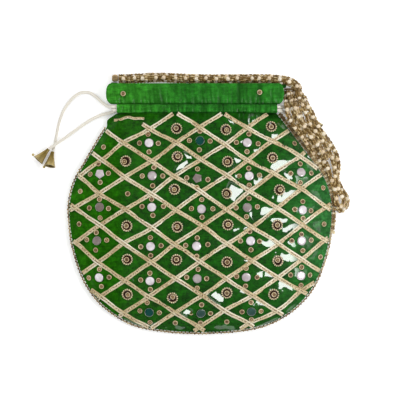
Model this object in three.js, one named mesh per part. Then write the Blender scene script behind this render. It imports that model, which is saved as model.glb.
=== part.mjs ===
// A drawstring pouch of green satin, lying on its back with its mouth towards +Y.
// Millimetres, +Z up. The back rests on z = 0. The origin is the middle of the base.
// The front and the back are separate lined shells, joined round the seam outline.

import * as THREE from 'three';

// Driving dimensions of the body.
const fabric = 1.0;
const lining = 0.5;
const gap = 0.3;
const seamHeight = 4.0;
const thickness = 20.0;
const bellyY = -10.0;
const neckY = 85.2;
const neckShift = -3.3;
const bodyHalfWidth = 116.2;
const bodyBottom = -108.6;
const bellyPower = 2.6;
const neckPower = 4.5;
const backPower = 6;
const backFlatShare = 0.1;
const neckGap = 0.2;

// Channel and header.
const channelHeight = 7.9;
const channelWall = 0.65;
const channelHalfLength = 70.8;
const channelShift = 0.2;
const tunnelSlack = 0.3;
const mouthGap = 4.8;
const headerHeight = 18.1;
const headerHalfWidth = 78.75;
const headerShift = -4.85;
const headerThickness = 2.4;
const headerCorner = 5.0;
const headerStep = 0.4;

// Drawstrings, bells and handle.
const cordDiameter = 2.4;
const cordClearance = 0.25;
const cordGap = 0.7;
const cordSpacing = cordDiameter + cordGap;
const turnArm = 14.0;
const turnStart = 0.6;
const turnReach = 3.6;
const strandDiameter = 3.6;
const handlePivotY = 106.0;
const tabThickness = 1.4;
const tabCorner = 1.0;
const knotPlateThickness = 1.4;
const bellLength = 13.6;
const bellMouthRadius = 5.0;
const bellTopRadius = 1.5;
const bellWall = 0.5;
const bellBeadRadius = 1.3;

// Trims.
const stripWidth = 4.0;
const stripThickness = 0.7;
const stripLift = 0.5;
const latticeColumns = 5.252; // diamonds across the widest place
const latticePitchX = (2 * bodyHalfWidth) / latticeColumns;
const latticePitchY = 29.8;
const latticeNodeX = 0.7;
const latticeNodeY = 14.2;
const stripEndMargin = 4.5;
const stripNeckMargin = 2.4;
const stripBottomMargin = 3.0;
const stripStation = 11.0;
const shortestStrip = 12.0;
const lowestStep = -5;
const highestStep = 3;
const neckStripWidth = 2.6;
const neckStripRight = -51.0;
const pipingDiameter = 1.6;
const edgingDiameter = 2.4;
const edgingOffset = 0.8;
const edgingShare = 0.855;
const edgingStations = 24;
const spangleRadius = 2.3;
const spangleThickness = 0.7;

// Sizes that follow from the values above.
const channelBase = neckY + neckGap;
const channelDepth = cordDiameter + 2 * cordClearance + 2 * channelWall;
const frontChannelZ = channelDepth + mouthGap;
const neckTop = frontChannelZ + channelDepth;
const headerBase = channelBase + channelHeight + gap;
const frontHeaderZ = neckTop - headerThickness - headerStep;
const cordLowY = channelBase + channelHeight / 2 - cordSpacing / 2;
const cordHighY = channelBase + channelHeight / 2 + cordSpacing / 2;
const cordFrontZ = frontChannelZ + channelDepth / 2;
const cordBackZ = channelDepth / 2;
const channelLeft = neckShift - channelHalfLength + channelShift;
const channelRight = neckShift + channelHalfLength + channelShift;
const frontEdgeTop = seamHeight + gap / 2 + fabric;
const backEdgeBottom = seamHeight - gap / 2 - fabric;
const bellyRise = thickness - frontEdgeTop;
const neckRise = neckTop - neckGap - frontEdgeTop;

const satin = { color: 0x14781e, roughness: 0.35, metalness: 0.0 };
const liningCloth = { color: 0x2c6a30, roughness: 0.7, metalness: 0.0 };
const goldTrim = { color: 0xd9c596, roughness: 0.4, metalness: 0.6 };
const goldBead = { color: 0xa8803c, roughness: 0.35, metalness: 0.8 };
const goldMetal = { color: 0xb8923e, roughness: 0.3, metalness: 0.9 };
const cordSatin = { color: 0xf0e8d2, roughness: 0.6, metalness: 0.0 };
const spangleFinish = { color: 0xd8b890, roughness: 0.4, metalness: 0.5 };

const sack = new THREE.Group();

function addMesh(name, geometry, finish, parent = sack) {
  const mesh = new THREE.Mesh(geometry, new THREE.MeshStandardMaterial(finish));
  mesh.name = name;
  parent.add(mesh);
  return mesh;
}

// The seam outline as half widths, from the lowest point up to the neck. Below the widest
// point a half width is a share of the widest, and above it narrows by shares to the neck. The
// first span mirrors the second, which keeps the curve level at the lowest point.
const belowWidest = (share) => share * bodyHalfWidth;
const aboveWidest = (share) => THREE.MathUtils.lerp(channelHalfLength, bodyHalfWidth, share);
const outline = new THREE.SplineCurve([
  [-belowWidest(0.3959), bodyBottom + 3.9],
  [0, bodyBottom],
  [belowWidest(0.3959), bodyBottom + 3.9],
  [belowWidest(0.6325), -94.1],
  [belowWidest(0.8305), -72.9],
  [belowWidest(0.9518), -41.0],
  [bodyHalfWidth, -3.9],
  [aboveWidest(0.9075), 22.7],
  [aboveWidest(0.6344), 43.9],
  [aboveWidest(0.3216), 65.2],
  [aboveWidest(0.1564), 75.8],
  [channelHalfLength, neckY],
].map(([x, y]) => new THREE.Vector2(x, y)));
const outlineStart = 1 / (outline.points.length - 1);

function outlinePoint(share) {
  return outline.getPoint(outlineStart + share * (1 - outlineStart));
}

function smooth(value, low, high) {
  return THREE.MathUtils.smoothstep(value, low, high);
}

// The half width of the body at a height y, found by halving the outline's parameter.
function halfWidth(y) {
  let low = 0;
  let high = 1;
  for (let turn = 0; turn < 40; turn += 1) {
    const middle = (low + high) / 2;
    if (outlinePoint(middle).y < y) low = middle;
    else high = middle;
  }
  return outlinePoint(low).x;
}

function centreLine(y) {
  return neckShift * smooth(y, 20, neckY);
}

// The upper face of the front panel: a low pillow that turns flatter across the neck.
function frontHeight(x, y) {
  const across = Math.min(1, Math.abs(x - centreLine(y)) / halfWidth(y));
  const down = THREE.MathUtils.clamp((bellyY - y) / (bellyY - bodyBottom), 0, 1);
  const up = smooth(y, bellyY, neckY);
  const rise = THREE.MathUtils.lerp(bellyRise * (1 - down ** bellyPower), neckRise, up);
  const power = THREE.MathUtils.lerp(bellyPower, neckPower, up);
  return frontEdgeTop + rise * (1 - across ** power);
}

// The lower face of the back panel: flat on the table, and turned up towards the seam.
function backHeight(x, y) {
  const across = Math.min(1, Math.abs(x - centreLine(y)) / halfWidth(y));
  const down = THREE.MathUtils.clamp((bellyY - y) / (bellyY - bodyBottom), 0, 1);
  const lift = 1 - (1 - across ** backPower) * (1 - down ** backPower);
  return backEdgeBottom * Math.max(0, (lift - backFlatShare) / (1 - backFlatShare));
}

// Plan points in rows across the body, from a lowest row up to the neck. The columns draw
// closer together towards the sides, where the face turns down to the seam.
const sideCrowding = 0.45;

function planRows({ rowCount, columnCount, lowestShare }) {
  const rows = [];
  for (let row = 0; row <= rowCount; row += 1) {
    const share = THREE.MathUtils.lerp(lowestShare, 1, row / rowCount);
    const { x: width, y } = outlinePoint(share);
    const points = [];
    for (let column = 0; column <= columnCount; column += 1) {
      const side = (2 * column) / columnCount - 1;
      const across = THREE.MathUtils.lerp(side, Math.sin((side * Math.PI) / 2), sideCrowding);
      points.push([centreLine(y) + width * across, y]);
    }
    rows.push(points);
  }
  return rows;
}

// A closed sheet between an upper and a lower height over a grid of plan points.
function sheetGeometry(plan, upper, lower) {
  const rowCount = plan.length;
  const columnCount = plan[0].length;
  const layer = rowCount * columnCount;
  const positions = [];
  for (const height of [upper, lower]) {
    for (const row of plan) {
      for (const [x, y] of row) positions.push(x, y, height(x, y));
    }
  }
  const index = [];
  for (let row = 0; row + 1 < rowCount; row += 1) {
    for (let column = 0; column + 1 < columnCount; column += 1) {
      const a = row * columnCount + column;
      const b = a + 1;
      const c = b + columnCount;
      const d = a + columnCount;
      index.push(a, b, c, a, c, d);
      index.push(layer + a, layer + c, layer + b, layer + a, layer + d, layer + c);
    }
  }
  const rim = [];
  for (let column = 0; column < columnCount - 1; column += 1) rim.push(column);
  for (let row = 0; row < rowCount - 1; row += 1) rim.push(row * columnCount + columnCount - 1);
  for (let column = columnCount - 1; column > 0; column -= 1) rim.push(layer - columnCount + column);
  for (let row = rowCount - 1; row > 0; row -= 1) rim.push(row * columnCount);
  rim.forEach((from, place) => {
    const to = rim[(place + 1) % rim.length];
    index.push(layer + from, layer + to, to, layer + from, to, from);
  });
  const geometry = new THREE.BufferGeometry();
  geometry.setAttribute('position', new THREE.Float32BufferAttribute(positions, 3));
  geometry.setIndex(index);
  geometry.computeVertexNormals();
  return geometry;
}

const panelGrid = { rowCount: 15, columnCount: 14, lowestShare: 0.05 };
const liningFirstRow = 3;

// The body shells and their lining. The lining takes the inner rows and columns of the same
// plan, so that its faces stay parallel to the panels' faces.
function addPanels() {
  const panelPlan = planRows(panelGrid);
  const liningPlan = panelPlan.slice(liningFirstRow).map((row) => row.slice(1, -1));
  const frontInside = (x, y) => frontHeight(x, y) - fabric;
  const backInside = (x, y) => backHeight(x, y) + fabric;
  addMesh('front_panel', sheetGeometry(panelPlan, frontHeight, frontInside), satin);
  addMesh('back_panel', sheetGeometry(panelPlan, backInside, backHeight), satin);
  addMesh('front_lining', sheetGeometry(
    liningPlan,
    (x, y) => frontInside(x, y) - gap,
    (x, y) => frontInside(x, y) - gap - lining,
  ), liningCloth);
  addMesh('back_lining', sheetGeometry(
    liningPlan,
    (x, y) => backInside(x, y) + gap + lining,
    (x, y) => backInside(x, y) + gap,
  ), liningCloth);
}

function roundedRectangle(width, height, corner) {
  const shape = new THREE.Shape();
  shape.moveTo(corner, 0);
  shape.lineTo(width - corner, 0);
  shape.absarc(width - corner, corner, corner, -Math.PI / 2, 0);
  shape.absarc(width - corner, height - corner, corner, 0, Math.PI / 2);
  shape.absarc(corner, height - corner, corner, Math.PI / 2, Math.PI);
  shape.absarc(corner, corner, corner, Math.PI, 1.5 * Math.PI);
  return shape;
}

// A channel is a flat sleeve along X, open at both ends for the two drawstrings.
function channelGeometry() {
  const tunnelHeight = channelDepth - 2 * channelWall;
  const tunnelWidth = cordSpacing + cordDiameter + 2 * cordClearance + tunnelSlack;
  const shape = new THREE.Shape();
  shape.moveTo(0, 0);
  shape.lineTo(channelHeight, 0);
  shape.lineTo(channelHeight, channelDepth);
  shape.lineTo(0, channelDepth);
  shape.closePath();
  const side = (channelHeight - tunnelWidth) / 2;
  const tunnel = new THREE.Path();
  tunnel.moveTo(side, channelWall);
  tunnel.lineTo(side, channelWall + tunnelHeight);
  tunnel.lineTo(side + tunnelWidth, channelWall + tunnelHeight);
  tunnel.lineTo(side + tunnelWidth, channelWall);
  tunnel.closePath();
  shape.holes.push(tunnel);
  const geometry = new THREE.ExtrudeGeometry(shape, {
    depth: channelRight - channelLeft,
    steps: 6,
    bevelEnabled: false,
  });
  geometry.rotateX(Math.PI / 2);
  geometry.rotateZ(Math.PI / 2);
  geometry.translate(channelLeft, channelBase, 0);
  return geometry;
}

const headerSpangles = [
  ['left_header_spangle', -68.2, 102.3],
  ['right_header_spangle', 52.2, 103.5],
];

// The neck: two channels, the fixed back header and the front header that folds up.
function addNeck() {
  addMesh('back_channel', channelGeometry(), satin);
  addMesh('front_channel', channelGeometry(), satin).position.z = frontChannelZ;
  const shape = roundedRectangle(2 * headerHalfWidth, headerHeight, headerCorner);
  const settings = { depth: headerThickness, bevelEnabled: false, curveSegments: 4 };
  const back = addMesh('back_header', new THREE.ExtrudeGeometry(shape, settings), satin);
  back.position.set(headerShift - headerHalfWidth, headerBase, 0);
  const front = addMesh('front_header', new THREE.ExtrudeGeometry(shape, settings), satin);
  front.position.set(headerShift - headerHalfWidth, headerBase, frontHeaderZ);
  const spangleZ = frontHeaderZ + headerThickness + gap + spangleThickness / 2;
  for (const [name, x, y] of headerSpangles) {
    const disc = new THREE.CylinderGeometry(spangleRadius, spangleRadius, spangleThickness, 12);
    disc.rotateX(Math.PI / 2);
    addMesh(name, disc, spangleFinish).position.set(x, y, spangleZ);
  }
}

// A route is smooth through its points, and its stations are spread evenly between them.
class Route extends THREE.CatmullRomCurve3 {
  constructor(points) {
    super(points.map((point) => new THREE.Vector3(...point)), false, 'centripetal');
  }

  getUtoTmapping(u) {
    return u;
  }
}

function ringShape(radius, sides) {
  const shape = new THREE.Shape();
  for (let side = 0; side < sides; side += 1) {
    const angle = (2 * Math.PI * (side + 0.5)) / sides;
    const x = radius * Math.cos(angle);
    const y = radius * Math.sin(angle);
    if (side === 0) shape.moveTo(x, y);
    else shape.lineTo(x, y);
  }
  shape.closePath();
  return shape;
}

function tubeGeometry(points, diameter, stepsPerSpan, sides = 8) {
  return new THREE.ExtrudeGeometry(ringShape(diameter / 2, sides), {
    steps: (points.length - 1) * stepsPerSpan,
    extrudePath: new Route(points),
    bevelEnabled: false,
  });
}

// A flat strip laid over the front panel along plan points.
function stripGeometry(points, width, lift) {
  const positions = [];
  points.forEach(([x, y], place) => {
    const before = points[Math.max(0, place - 1)];
    const after = points[Math.min(points.length - 1, place + 1)];
    const length = Math.hypot(after[0] - before[0], after[1] - before[1]);
    const sideX = (-(after[1] - before[1]) / length) * (width / 2);
    const sideY = ((after[0] - before[0]) / length) * (width / 2);
    for (const [side, rise] of [[1, 0], [-1, 0], [-1, stripThickness], [1, stripThickness]]) {
      const edgeX = x + side * sideX;
      const edgeY = y + side * sideY;
      positions.push(edgeX, edgeY, frontHeight(edgeX, edgeY) + lift + rise);
    }
  });
  const index = [0, 1, 2, 0, 2, 3];
  for (let place = 0; place + 1 < points.length; place += 1) {
    const here = place * 4;
    for (let side = 0; side < 4; side += 1) {
      const a = here + side;
      const b = here + ((side + 1) % 4);
      index.push(a, a + 4, b + 4, a, b + 4, b);
    }
  }
  const last = (points.length - 1) * 4;
  index.push(last, last + 2, last + 1, last, last + 3, last + 2);
  const geometry = new THREE.BufferGeometry();
  geometry.setAttribute('position', new THREE.Float32BufferAttribute(positions, 3));
  geometry.setIndex(index);
  geometry.computeVertexNormals();
  return geometry;
}

function insideBody(x, y) {
  if (y > neckY - stripNeckMargin || y < bodyBottom + stripBottomMargin) return false;
  return Math.abs(x - centreLine(y)) < halfWidth(y) - stripEndMargin;
}

// The run of a slanted line that lies on the front, as evenly spaced plan points.
function latticeRun(heightAtZero, slope, leftLimit) {
  const inside = [];
  const searchStep = 0.5;
  for (let x = -bodyHalfWidth; x <= bodyHalfWidth; x += searchStep) {
    const y = heightAtZero + slope * x;
    if (x >= leftLimit && insideBody(x, y)) inside.push(x);
  }
  if (inside.length * searchStep < shortestStrip) return null;
  const first = inside[0];
  const last = inside[inside.length - 1];
  const spans = Math.max(2, Math.round((last - first) / stripStation));
  const points = [];
  for (let span = 0; span <= spans; span += 1) {
    const x = THREE.MathUtils.lerp(first, last, span / spans);
    points.push([x, heightAtZero + slope * x]);
  }
  return points;
}

// The trellis: one family of strips rises to the right, and the other is laid over it.
function addTrellis() {
  const slope = latticePitchY / latticePitchX;
  const families = [
    ['rising_strip', slope, stripLift],
    ['falling_strip', -slope, stripLift + stripThickness + gap],
  ];
  for (const [name, familySlope, lift] of families) {
    let number = 1;
    for (let step = lowestStep; step <= highestStep; step += 1) {
      const heightAtZero = latticeNodeY + step * latticePitchY - familySlope * latticeNodeX;
      const leftLimit = familySlope < 0 && step === 1 ? neckStripRight : -bodyHalfWidth;
      const points = latticeRun(heightAtZero, familySlope, leftLimit);
      if (points) {
        addMesh(`${name}_${number}`, stripGeometry(points, stripWidth, lift), goldTrim);
        number += 1;
      }
    }
  }
}

const neckStripPlan = [[-73.4, 79.0], [-69.5, 78.6], [-64.5, 80.4], [-59.5, 81.6], [-54.2, 81.6]];
const pipingShares = [0.985, 0.96, 0.935, 0.91, 0.885];
const pipingOffset = new THREE.Vector2(1.5, 0.8);

// The wavy strip at the left of the neck, and the piping down the right shoulder's seam.
function addNeckTrims() {
  addMesh('neck_strip', stripGeometry(neckStripPlan, neckStripWidth, stripLift), goldTrim);
  const piping = pipingShares.map((share) => {
    const { x, y } = outlinePoint(share);
    return [centreLine(y) + x + pipingOffset.x, y + pipingOffset.y, seamHeight];
  });
  addMesh('neck_piping', tubeGeometry(piping, pipingDiameter, 2), goldTrim);
}

// The bead edging is a rope along the seam, from shoulder to shoulder round the bottom.
function addEdging() {
  const reach = edgingOffset + edgingDiameter / 2;
  const points = [];
  const addPoint = (share, side) => {
    const here = outlinePoint(share);
    const ahead = outlinePoint(share + 0.002); // close enough ahead to give the direction
    const length = Math.hypot(ahead.x - here.x, ahead.y - here.y);
    const outX = (ahead.y - here.y) / length;
    const outY = -(ahead.x - here.x) / length;
    const x = centreLine(here.y) + side * (here.x + reach * outX);
    points.push([x, here.y + reach * outY, seamHeight]);
  };
  for (let place = -edgingStations; place <= edgingStations; place += 1) {
    addPoint((edgingShare * Math.abs(place)) / edgingStations, place < 0 ? -1 : 1);
  }
  addMesh('edge_beading', tubeGeometry(points, edgingDiameter, 1, 6), goldBead);
}

// Stations along a bell: the share of its length and the share of its flare from top to mouth.
const bellStations = [[0.15, 0.06], [0.44, 0.31], [0.74, 0.63], [0.95, 0.91], [1, 1]];
const bellCrown = 2.6;

// A bell cap: a flared shell, open at the mouth, with a solid crown that holds the cord.
function bellGeometry() {
  const outer = bellStations.map(([along, flare]) => new THREE.Vector2(
    THREE.MathUtils.lerp(bellTopRadius, bellMouthRadius, flare),
    along * bellLength,
  ));
  const inner = outer.slice(1).reverse().map(({ x, y }) => new THREE.Vector2(x - bellWall, y));
  const profile = [new THREE.Vector2(0, 0), new THREE.Vector2(bellTopRadius, 0), ...outer, ...inner];
  return new THREE.LatheGeometry([...profile, new THREE.Vector2(0, bellCrown)], 12);
}

function addBell(name, top, mouth, beadAtSide) {
  const bell = new THREE.Group();
  const beadGap = bellBeadRadius + gap;
  addMesh(name, bellGeometry(), goldMetal, bell);
  const bead = addMesh(`${name}_bead`, new THREE.IcosahedronGeometry(bellBeadRadius, 1), goldMetal, bell);
  if (beadAtSide) bead.position.set(bellMouthRadius + beadGap, bellLength - bellBeadRadius / 2, 0);
  else bead.position.set(bellMouthRadius - bellWall / 2, bellLength + beadGap, 0);
  const along = new THREE.Vector3(...mouth).sub(new THREE.Vector3(...top)).normalize();
  const side = new THREE.Vector3(along.y, -along.x, 0).normalize();
  const upward = new THREE.Vector3().crossVectors(side, along);
  bell.quaternion.setFromRotationMatrix(new THREE.Matrix4().makeBasis(side, along, upward));
  bell.position.set(...top);
  sack.add(bell);
}

// A drawstring has a front tail and a back tail on one side, two straight runs inside the
// channels, and a turn between the channels on the other side.
function addDrawstring(side, frontY, backY, frontTail, backTail) {
  const sign = side === 'left' ? -1 : 1;
  const exit = side === 'left' ? channelLeft : channelRight;
  const far = side === 'left' ? channelRight : channelLeft;
  const runStart = exit - sign * gap;
  const runEnd = far + sign * turnArm;
  const runs = [['front', frontY, cordFrontZ, frontTail], ['back', backY, cordBackZ, backTail]];
  for (const [face, y, z, tail] of runs) {
    addMesh(`${side}_drawstring_${face}_tail`, tubeGeometry(tail, cordDiameter, 1), cordSatin);
    const run = [[runStart, y, z], [(runStart + runEnd) / 2, y, z], [runEnd, y, z]];
    addMesh(`${side}_drawstring_${face}_run`, tubeGeometry(run, cordDiameter, 1), cordSatin);
  }
  const middleZ = (cordFrontZ + cordBackZ) / 2;
  const bow = (cordFrontZ - cordBackZ) / 2;
  const turn = [[runEnd - sign * gap, frontY, cordFrontZ], [far, frontY, cordFrontZ]];
  for (const angle of [30, 60, 90, 120, 150]) {
    const radians = THREE.MathUtils.degToRad(angle);
    const share = (1 - Math.cos(radians)) / 2;
    const x = far - sign * (turnStart + turnReach * Math.sin(radians));
    turn.push([x, THREE.MathUtils.lerp(frontY, backY, share), middleZ + bow * Math.cos(radians)]);
  }
  turn.push([far, backY, cordBackZ], [runEnd - sign * gap, backY, cordBackZ]);
  addMesh(`${side}_drawstring_turn`, tubeGeometry(turn, cordDiameter, 1), cordSatin);
}

const leftFrontTail = [
  [channelLeft - gap, cordHighY, cordFrontZ],
  [-78.0, cordHighY, 10.6],
  [-81.5, cordHighY + 0.5, 8.6],
  [-85.5, 93.6, 6.0],
  [-89.5, 97.2, 3.6],
  [-94.0, 101.2, 2.0],
  [-99.6, 104.1, 1.4],
  [-106.6, 103.7, 1.4],
  [-112.4, 100.2, 1.4],
  [-117.8, 94.3, 1.4],
  [-122.2, 87.2, 1.4],
  [-125.4, 78.6, 1.4],
  [-127.4, 69.8, 1.4],
  [-128.8, 61.8, 1.4],
  [-130.0, 56.6, 1.5],
  [-131.2, 52.3, 1.9],
];
const leftBackTail = [
  [channelLeft - gap, cordLowY, cordBackZ],
  [-80.1, 86.2, 1.7],
  [-88.9, 83.8, 1.4],
  [-97.8, 79.6, 1.4],
  [-106.6, 73.7, 1.4],
  [-115.5, 67.3, 1.5],
  [-121.4, 62.9, 2.4],
  [-126.2, 59.6, 4.1],
  [-130.6, 56.6, 4.5],
  [-134.6, 54.0, 3.4],
];
const rightFrontTail = [
  [channelRight + gap, cordLowY, cordFrontZ],
  [70.5, cordLowY - 0.2, 10.6],
  [73.6, 86.6, 8.4],
  [76.6, 84.8, 5.2],
  [79.6, 82.6, 2.6],
  [83.0, 79.8, 1.6],
  [86.6, 76.4, 1.8],
];
const rightBackTail = [
  [channelRight + gap, cordHighY, cordBackZ],
  [73.0, cordHighY + 0.1, 1.6],
  [80.0, 90.4, 1.4],
  [87.0, 88.6, 1.4],
  [92.6, 86.2, 1.4],
  [96.6, 83.6, 1.8],
];

// The handle: three bead strands. Each runs along the mouth from the left side, turns down
// at the right corner, folds back and ends at the right side. It bends at the pivot line.
const topRuns = [
  [
    [-72.7, 114.0, 2.1],
    [-55.0, 114.6, 2.1],
    [-38.0, 115.4, 2.1],
    [-15.0, 114.5, 2.1],
    [10.0, 114.0, 2.1],
    [35.0, 114.1, 2.1],
    [56.0, 113.9, 2.1],
    [68.0, 113.6, 2.1],
    [74.5, 112.9, 2.1],
    [79.4, 111.4, 2.1],
    [82.4, 109.2, 2.1],
    [83.7, 107.7, 2.1],
    [83.7, 106.3, 2.1],
  ],
  [
    [-72.7, 116.0, 5.5],
    [-55.0, 116.6, 5.5],
    [-38.0, 117.4, 5.5],
    [-15.0, 116.5, 5.5],
    [10.0, 116.0, 5.5],
    [35.0, 116.1, 5.5],
    [56.0, 115.9, 5.5],
    [68.0, 115.5, 5.5],
    [75.4, 114.5, 5.5],
    [80.8, 112.6, 5.5],
    [84.4, 109.9, 5.5],
    [85.7, 107.9, 5.5],
    [85.7, 106.3, 5.5],
  ],
  [
    [-72.7, 118.0, 2.1],
    [-55.0, 118.6, 2.1],
    [-38.0, 119.4, 2.1],
    [-15.0, 118.5, 2.1],
    [10.0, 118.0, 2.1],
    [35.0, 118.1, 2.1],
    [56.0, 118.0, 2.1],
    [68.0, 117.6, 2.1],
    [76.4, 116.4, 2.1],
    [82.6, 114.0, 2.1],
    [86.6, 110.6, 2.1],
    [87.8, 108.1, 2.1],
    [87.8, 106.3, 2.1],
  ],
];
const hangingLoops = [
  [
    [83.7, 105.7, 2.1],
    [83.7, 104.0, 2.1],
    [84.2, 99.0, 5.4],
    [85.2, 91.6, 14.5],
    [88.0, 84.0, 14.6],
    [90.3, 78.0, 13.4],
    [94.4, 72.0, 12.4],
    [99.2, 66.0, 12.4],
    [103.4, 60.0, 11.2],
    [107.4, 54.0, 7.4],
    [110.2, 49.6, 4.6],
    [111.6, 46.6, 4.6],
    [111.8, 45.2, 6.8],
    [110.8, 46.4, 9.2],
    [108.6, 50.0, 10.4],
    [105.2, 54.4, 12.2],
    [101.0, 60.0, 14.8],
    [96.7, 66.0, 16.0],
    [91.9, 72.0, 16.0],
    [87.6, 78.0, 17.2],
    [85.2, 84.0, 18.6],
    [82.4, 92.4, 19.0],
    [79.2, 99.0, 10.8],
    [77.9, 103.8, 5.9],
    [77.9, 105.7, 5.6],
  ],
  [
    [85.7, 105.7, 5.5],
    [85.7, 104.0, 5.5],
    [88.0, 99.0, 7.0],
    [89.6, 91.6, 14.8],
    [93.4, 84.0, 14.6],
    [95.6, 78.0, 13.4],
    [99.4, 72.0, 12.4],
    [104.2, 66.0, 12.4],
    [108.4, 60.0, 11.2],
    [112.4, 54.0, 7.4],
    [115.6, 48.0, 4.2],
    [117.8, 42.0, 3.6],
    [119.0, 36.0, 4.9],
    [119.8, 28.0, 6.0],
    [122.4, 18.0, 6.0],
    [126.0, 11.0, 6.0],
    [127.2, 6.6, 6.0],
    [125.4, 3.4, 6.0],
    [122.2, 3.2, 6.0],
    [120.2, 6.4, 6.2],
    [119.9, 12.0, 6.2],
    [118.4, 20.0, 6.2],
    [115.2, 28.0, 6.0],
    [113.4, 36.0, 5.2],
    [110.9, 42.0, 2.7],
    [106.7, 48.0, 3.2],
    [102.4, 54.0, 7.4],
    [98.4, 60.0, 11.2],
    [94.2, 66.0, 12.4],
    [89.4, 72.0, 12.4],
    [85.0, 78.0, 13.4],
    [82.5, 84.0, 14.6],
    [80.6, 91.6, 14.5],
    [79.9, 99.0, 5.4],
    [79.8, 104.0, 2.1],
    [79.8, 105.7, 2.1],
  ],
  [
    [87.8, 105.7, 2.1],
    [87.9, 104.0, 2.1],
    [91.9, 99.0, 5.4],
    [94.2, 91.6, 14.5],
    [98.8, 84.0, 14.6],
    [101.0, 78.0, 13.4],
    [104.4, 72.0, 12.4],
    [109.0, 66.0, 12.4],
    [113.4, 60.0, 11.2],
    [117.4, 54.0, 7.4],
    [120.6, 48.0, 3.6],
    [121.9, 42.0, 2.1],
    [122.2, 36.0, 2.1],
    [121.0, 28.0, 2.1],
    [124.8, 19.0, 2.1],
    [129.2, 12.0, 2.1],
    [130.4, 6.6, 2.1],
    [128.4, 1.6, 2.1],
    [124.2, -0.8, 2.1],
    [120.9, 1.8, 2.1],
    [120.4, 7.0, 2.1],
    [119.9, 13.0, 2.1],
    [118.9, 20.0, 2.1],
    [115.4, 28.0, 2.1],
    [110.4, 36.0, 2.1],
    [106.2, 42.0, 2.1],
    [102.3, 48.0, 3.2],
    [97.4, 54.0, 7.4],
    [93.4, 60.0, 11.2],
    [89.2, 66.0, 12.4],
    [84.4, 72.0, 12.4],
    [79.8, 78.0, 13.4],
    [77.3, 84.0, 14.6],
    [76.0, 91.6, 14.5],
    [75.9, 99.0, 5.4],
    [75.9, 104.0, 2.1],
    [75.9, 105.7, 2.1],
  ],
];

// The tabs' plan boxes, and the knots: a block round the three left ends, and a plate behind
// the three right ends whose steps follow the strand that lies on the other two.
const leftTabBox = { x: -79.5, y: 101.0, width: 6.0, height: 12.0 };
const rightTabBox = { x: 65.0, y: 107.9, width: 11.0, height: 3.2 };
const leftKnotSize = new THREE.Vector3(5.6, 6.6, 6.0);
const leftKnotCentre = new THREE.Vector3(-75.8, 116.6, 3.8);
const rightKnotOutline = [
  [74.3, 0.3],
  [81.5, 0.3],
  [81.5, 3.9],
  [79.7, 3.9],
  [79.7, 7.4],
  [76.1, 7.4],
  [76.1, 3.9],
  [74.3, 3.9],
];

function addTab(name, { x, y, width, height }) {
  const shape = roundedRectangle(width, height, tabCorner);
  const tab = new THREE.ExtrudeGeometry(shape, { depth: tabThickness, bevelEnabled: false });
  addMesh(name, tab, satin).position.set(x, y, headerThickness + gap);
}

// Each end of the handle is bound in a knot that a small tab holds inside the mouth.
function addHandle() {
  topRuns.forEach((points, place) => {
    addMesh(`handle_strand_${place + 1}_top`, tubeGeometry(points, strandDiameter, 2), goldBead);
  });
  hangingLoops.forEach((points, place) => {
    addMesh(`handle_strand_${place + 1}_loop`, tubeGeometry(points, strandDiameter, 1), goldBead);
  });
  addTab('left_handle_tab', leftTabBox);
  addTab('right_handle_tab', rightTabBox);
  const leftKnot = new THREE.BoxGeometry(...leftKnotSize.toArray());
  addMesh('left_handle_knot', leftKnot, goldMetal).position.copy(leftKnotCentre);
  const plate = new THREE.Shape(rightKnotOutline.map(([x, z]) => new THREE.Vector2(x, z)));
  const rightKnot = new THREE.ExtrudeGeometry(plate, { depth: knotPlateThickness, bevelEnabled: false });
  rightKnot.rotateX(Math.PI / 2);
  rightKnot.translate(0, handlePivotY + gap / 2 + knotPlateThickness, 0);
  addMesh('right_handle_knot', rightKnot, goldMetal);
}

addPanels();
addNeck();
addTrellis();
addNeckTrims();
addEdging();
addDrawstring('left', cordHighY, cordLowY, leftFrontTail, leftBackTail);
addDrawstring('right', cordLowY, cordHighY, rightFrontTail, rightBackTail);
addBell('left_bell_1', [-134.9, 53.6, 3.3], [-144.6, 43.2, 5.2], true);
addBell('left_bell_2', [-131.4, 51.5, 1.8], [-133.9, 38.0, 5.1], false);
addBell('right_bell_1', [87.0, 75.9, 1.8], [94.8, 64.8, 5.1], false);
addBell('right_bell_2', [96.9, 83.2, 1.8], [104.7, 72.1, 5.1], false);
addHandle();

export default sack;
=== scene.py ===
import bpy
import numpy as np
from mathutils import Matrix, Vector


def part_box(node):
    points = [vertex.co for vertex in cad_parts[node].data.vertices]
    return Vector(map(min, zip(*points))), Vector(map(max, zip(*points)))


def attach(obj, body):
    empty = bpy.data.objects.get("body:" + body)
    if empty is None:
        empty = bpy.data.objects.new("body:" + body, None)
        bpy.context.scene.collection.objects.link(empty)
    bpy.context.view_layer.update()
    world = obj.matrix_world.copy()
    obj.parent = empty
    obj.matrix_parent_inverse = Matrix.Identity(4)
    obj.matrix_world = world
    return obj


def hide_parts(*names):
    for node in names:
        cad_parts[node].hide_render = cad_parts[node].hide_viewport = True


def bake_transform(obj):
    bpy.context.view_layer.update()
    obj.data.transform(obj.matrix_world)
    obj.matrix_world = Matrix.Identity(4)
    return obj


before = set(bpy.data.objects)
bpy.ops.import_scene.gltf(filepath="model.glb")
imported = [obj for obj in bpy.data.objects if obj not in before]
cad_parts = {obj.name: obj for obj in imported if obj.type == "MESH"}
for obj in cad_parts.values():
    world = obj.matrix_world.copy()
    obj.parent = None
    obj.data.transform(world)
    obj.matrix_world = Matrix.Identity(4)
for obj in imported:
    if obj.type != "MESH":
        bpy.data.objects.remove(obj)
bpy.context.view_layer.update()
scene = bpy.context.scene
scene.view_settings.view_transform = "Standard"
mm = 0.001

cameraSet = {"distance": 1.6, "viewWidth": 0.3655, "centreX": 0.0053, "centreY": 0.0028, "planeZ": 0.008}


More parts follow.
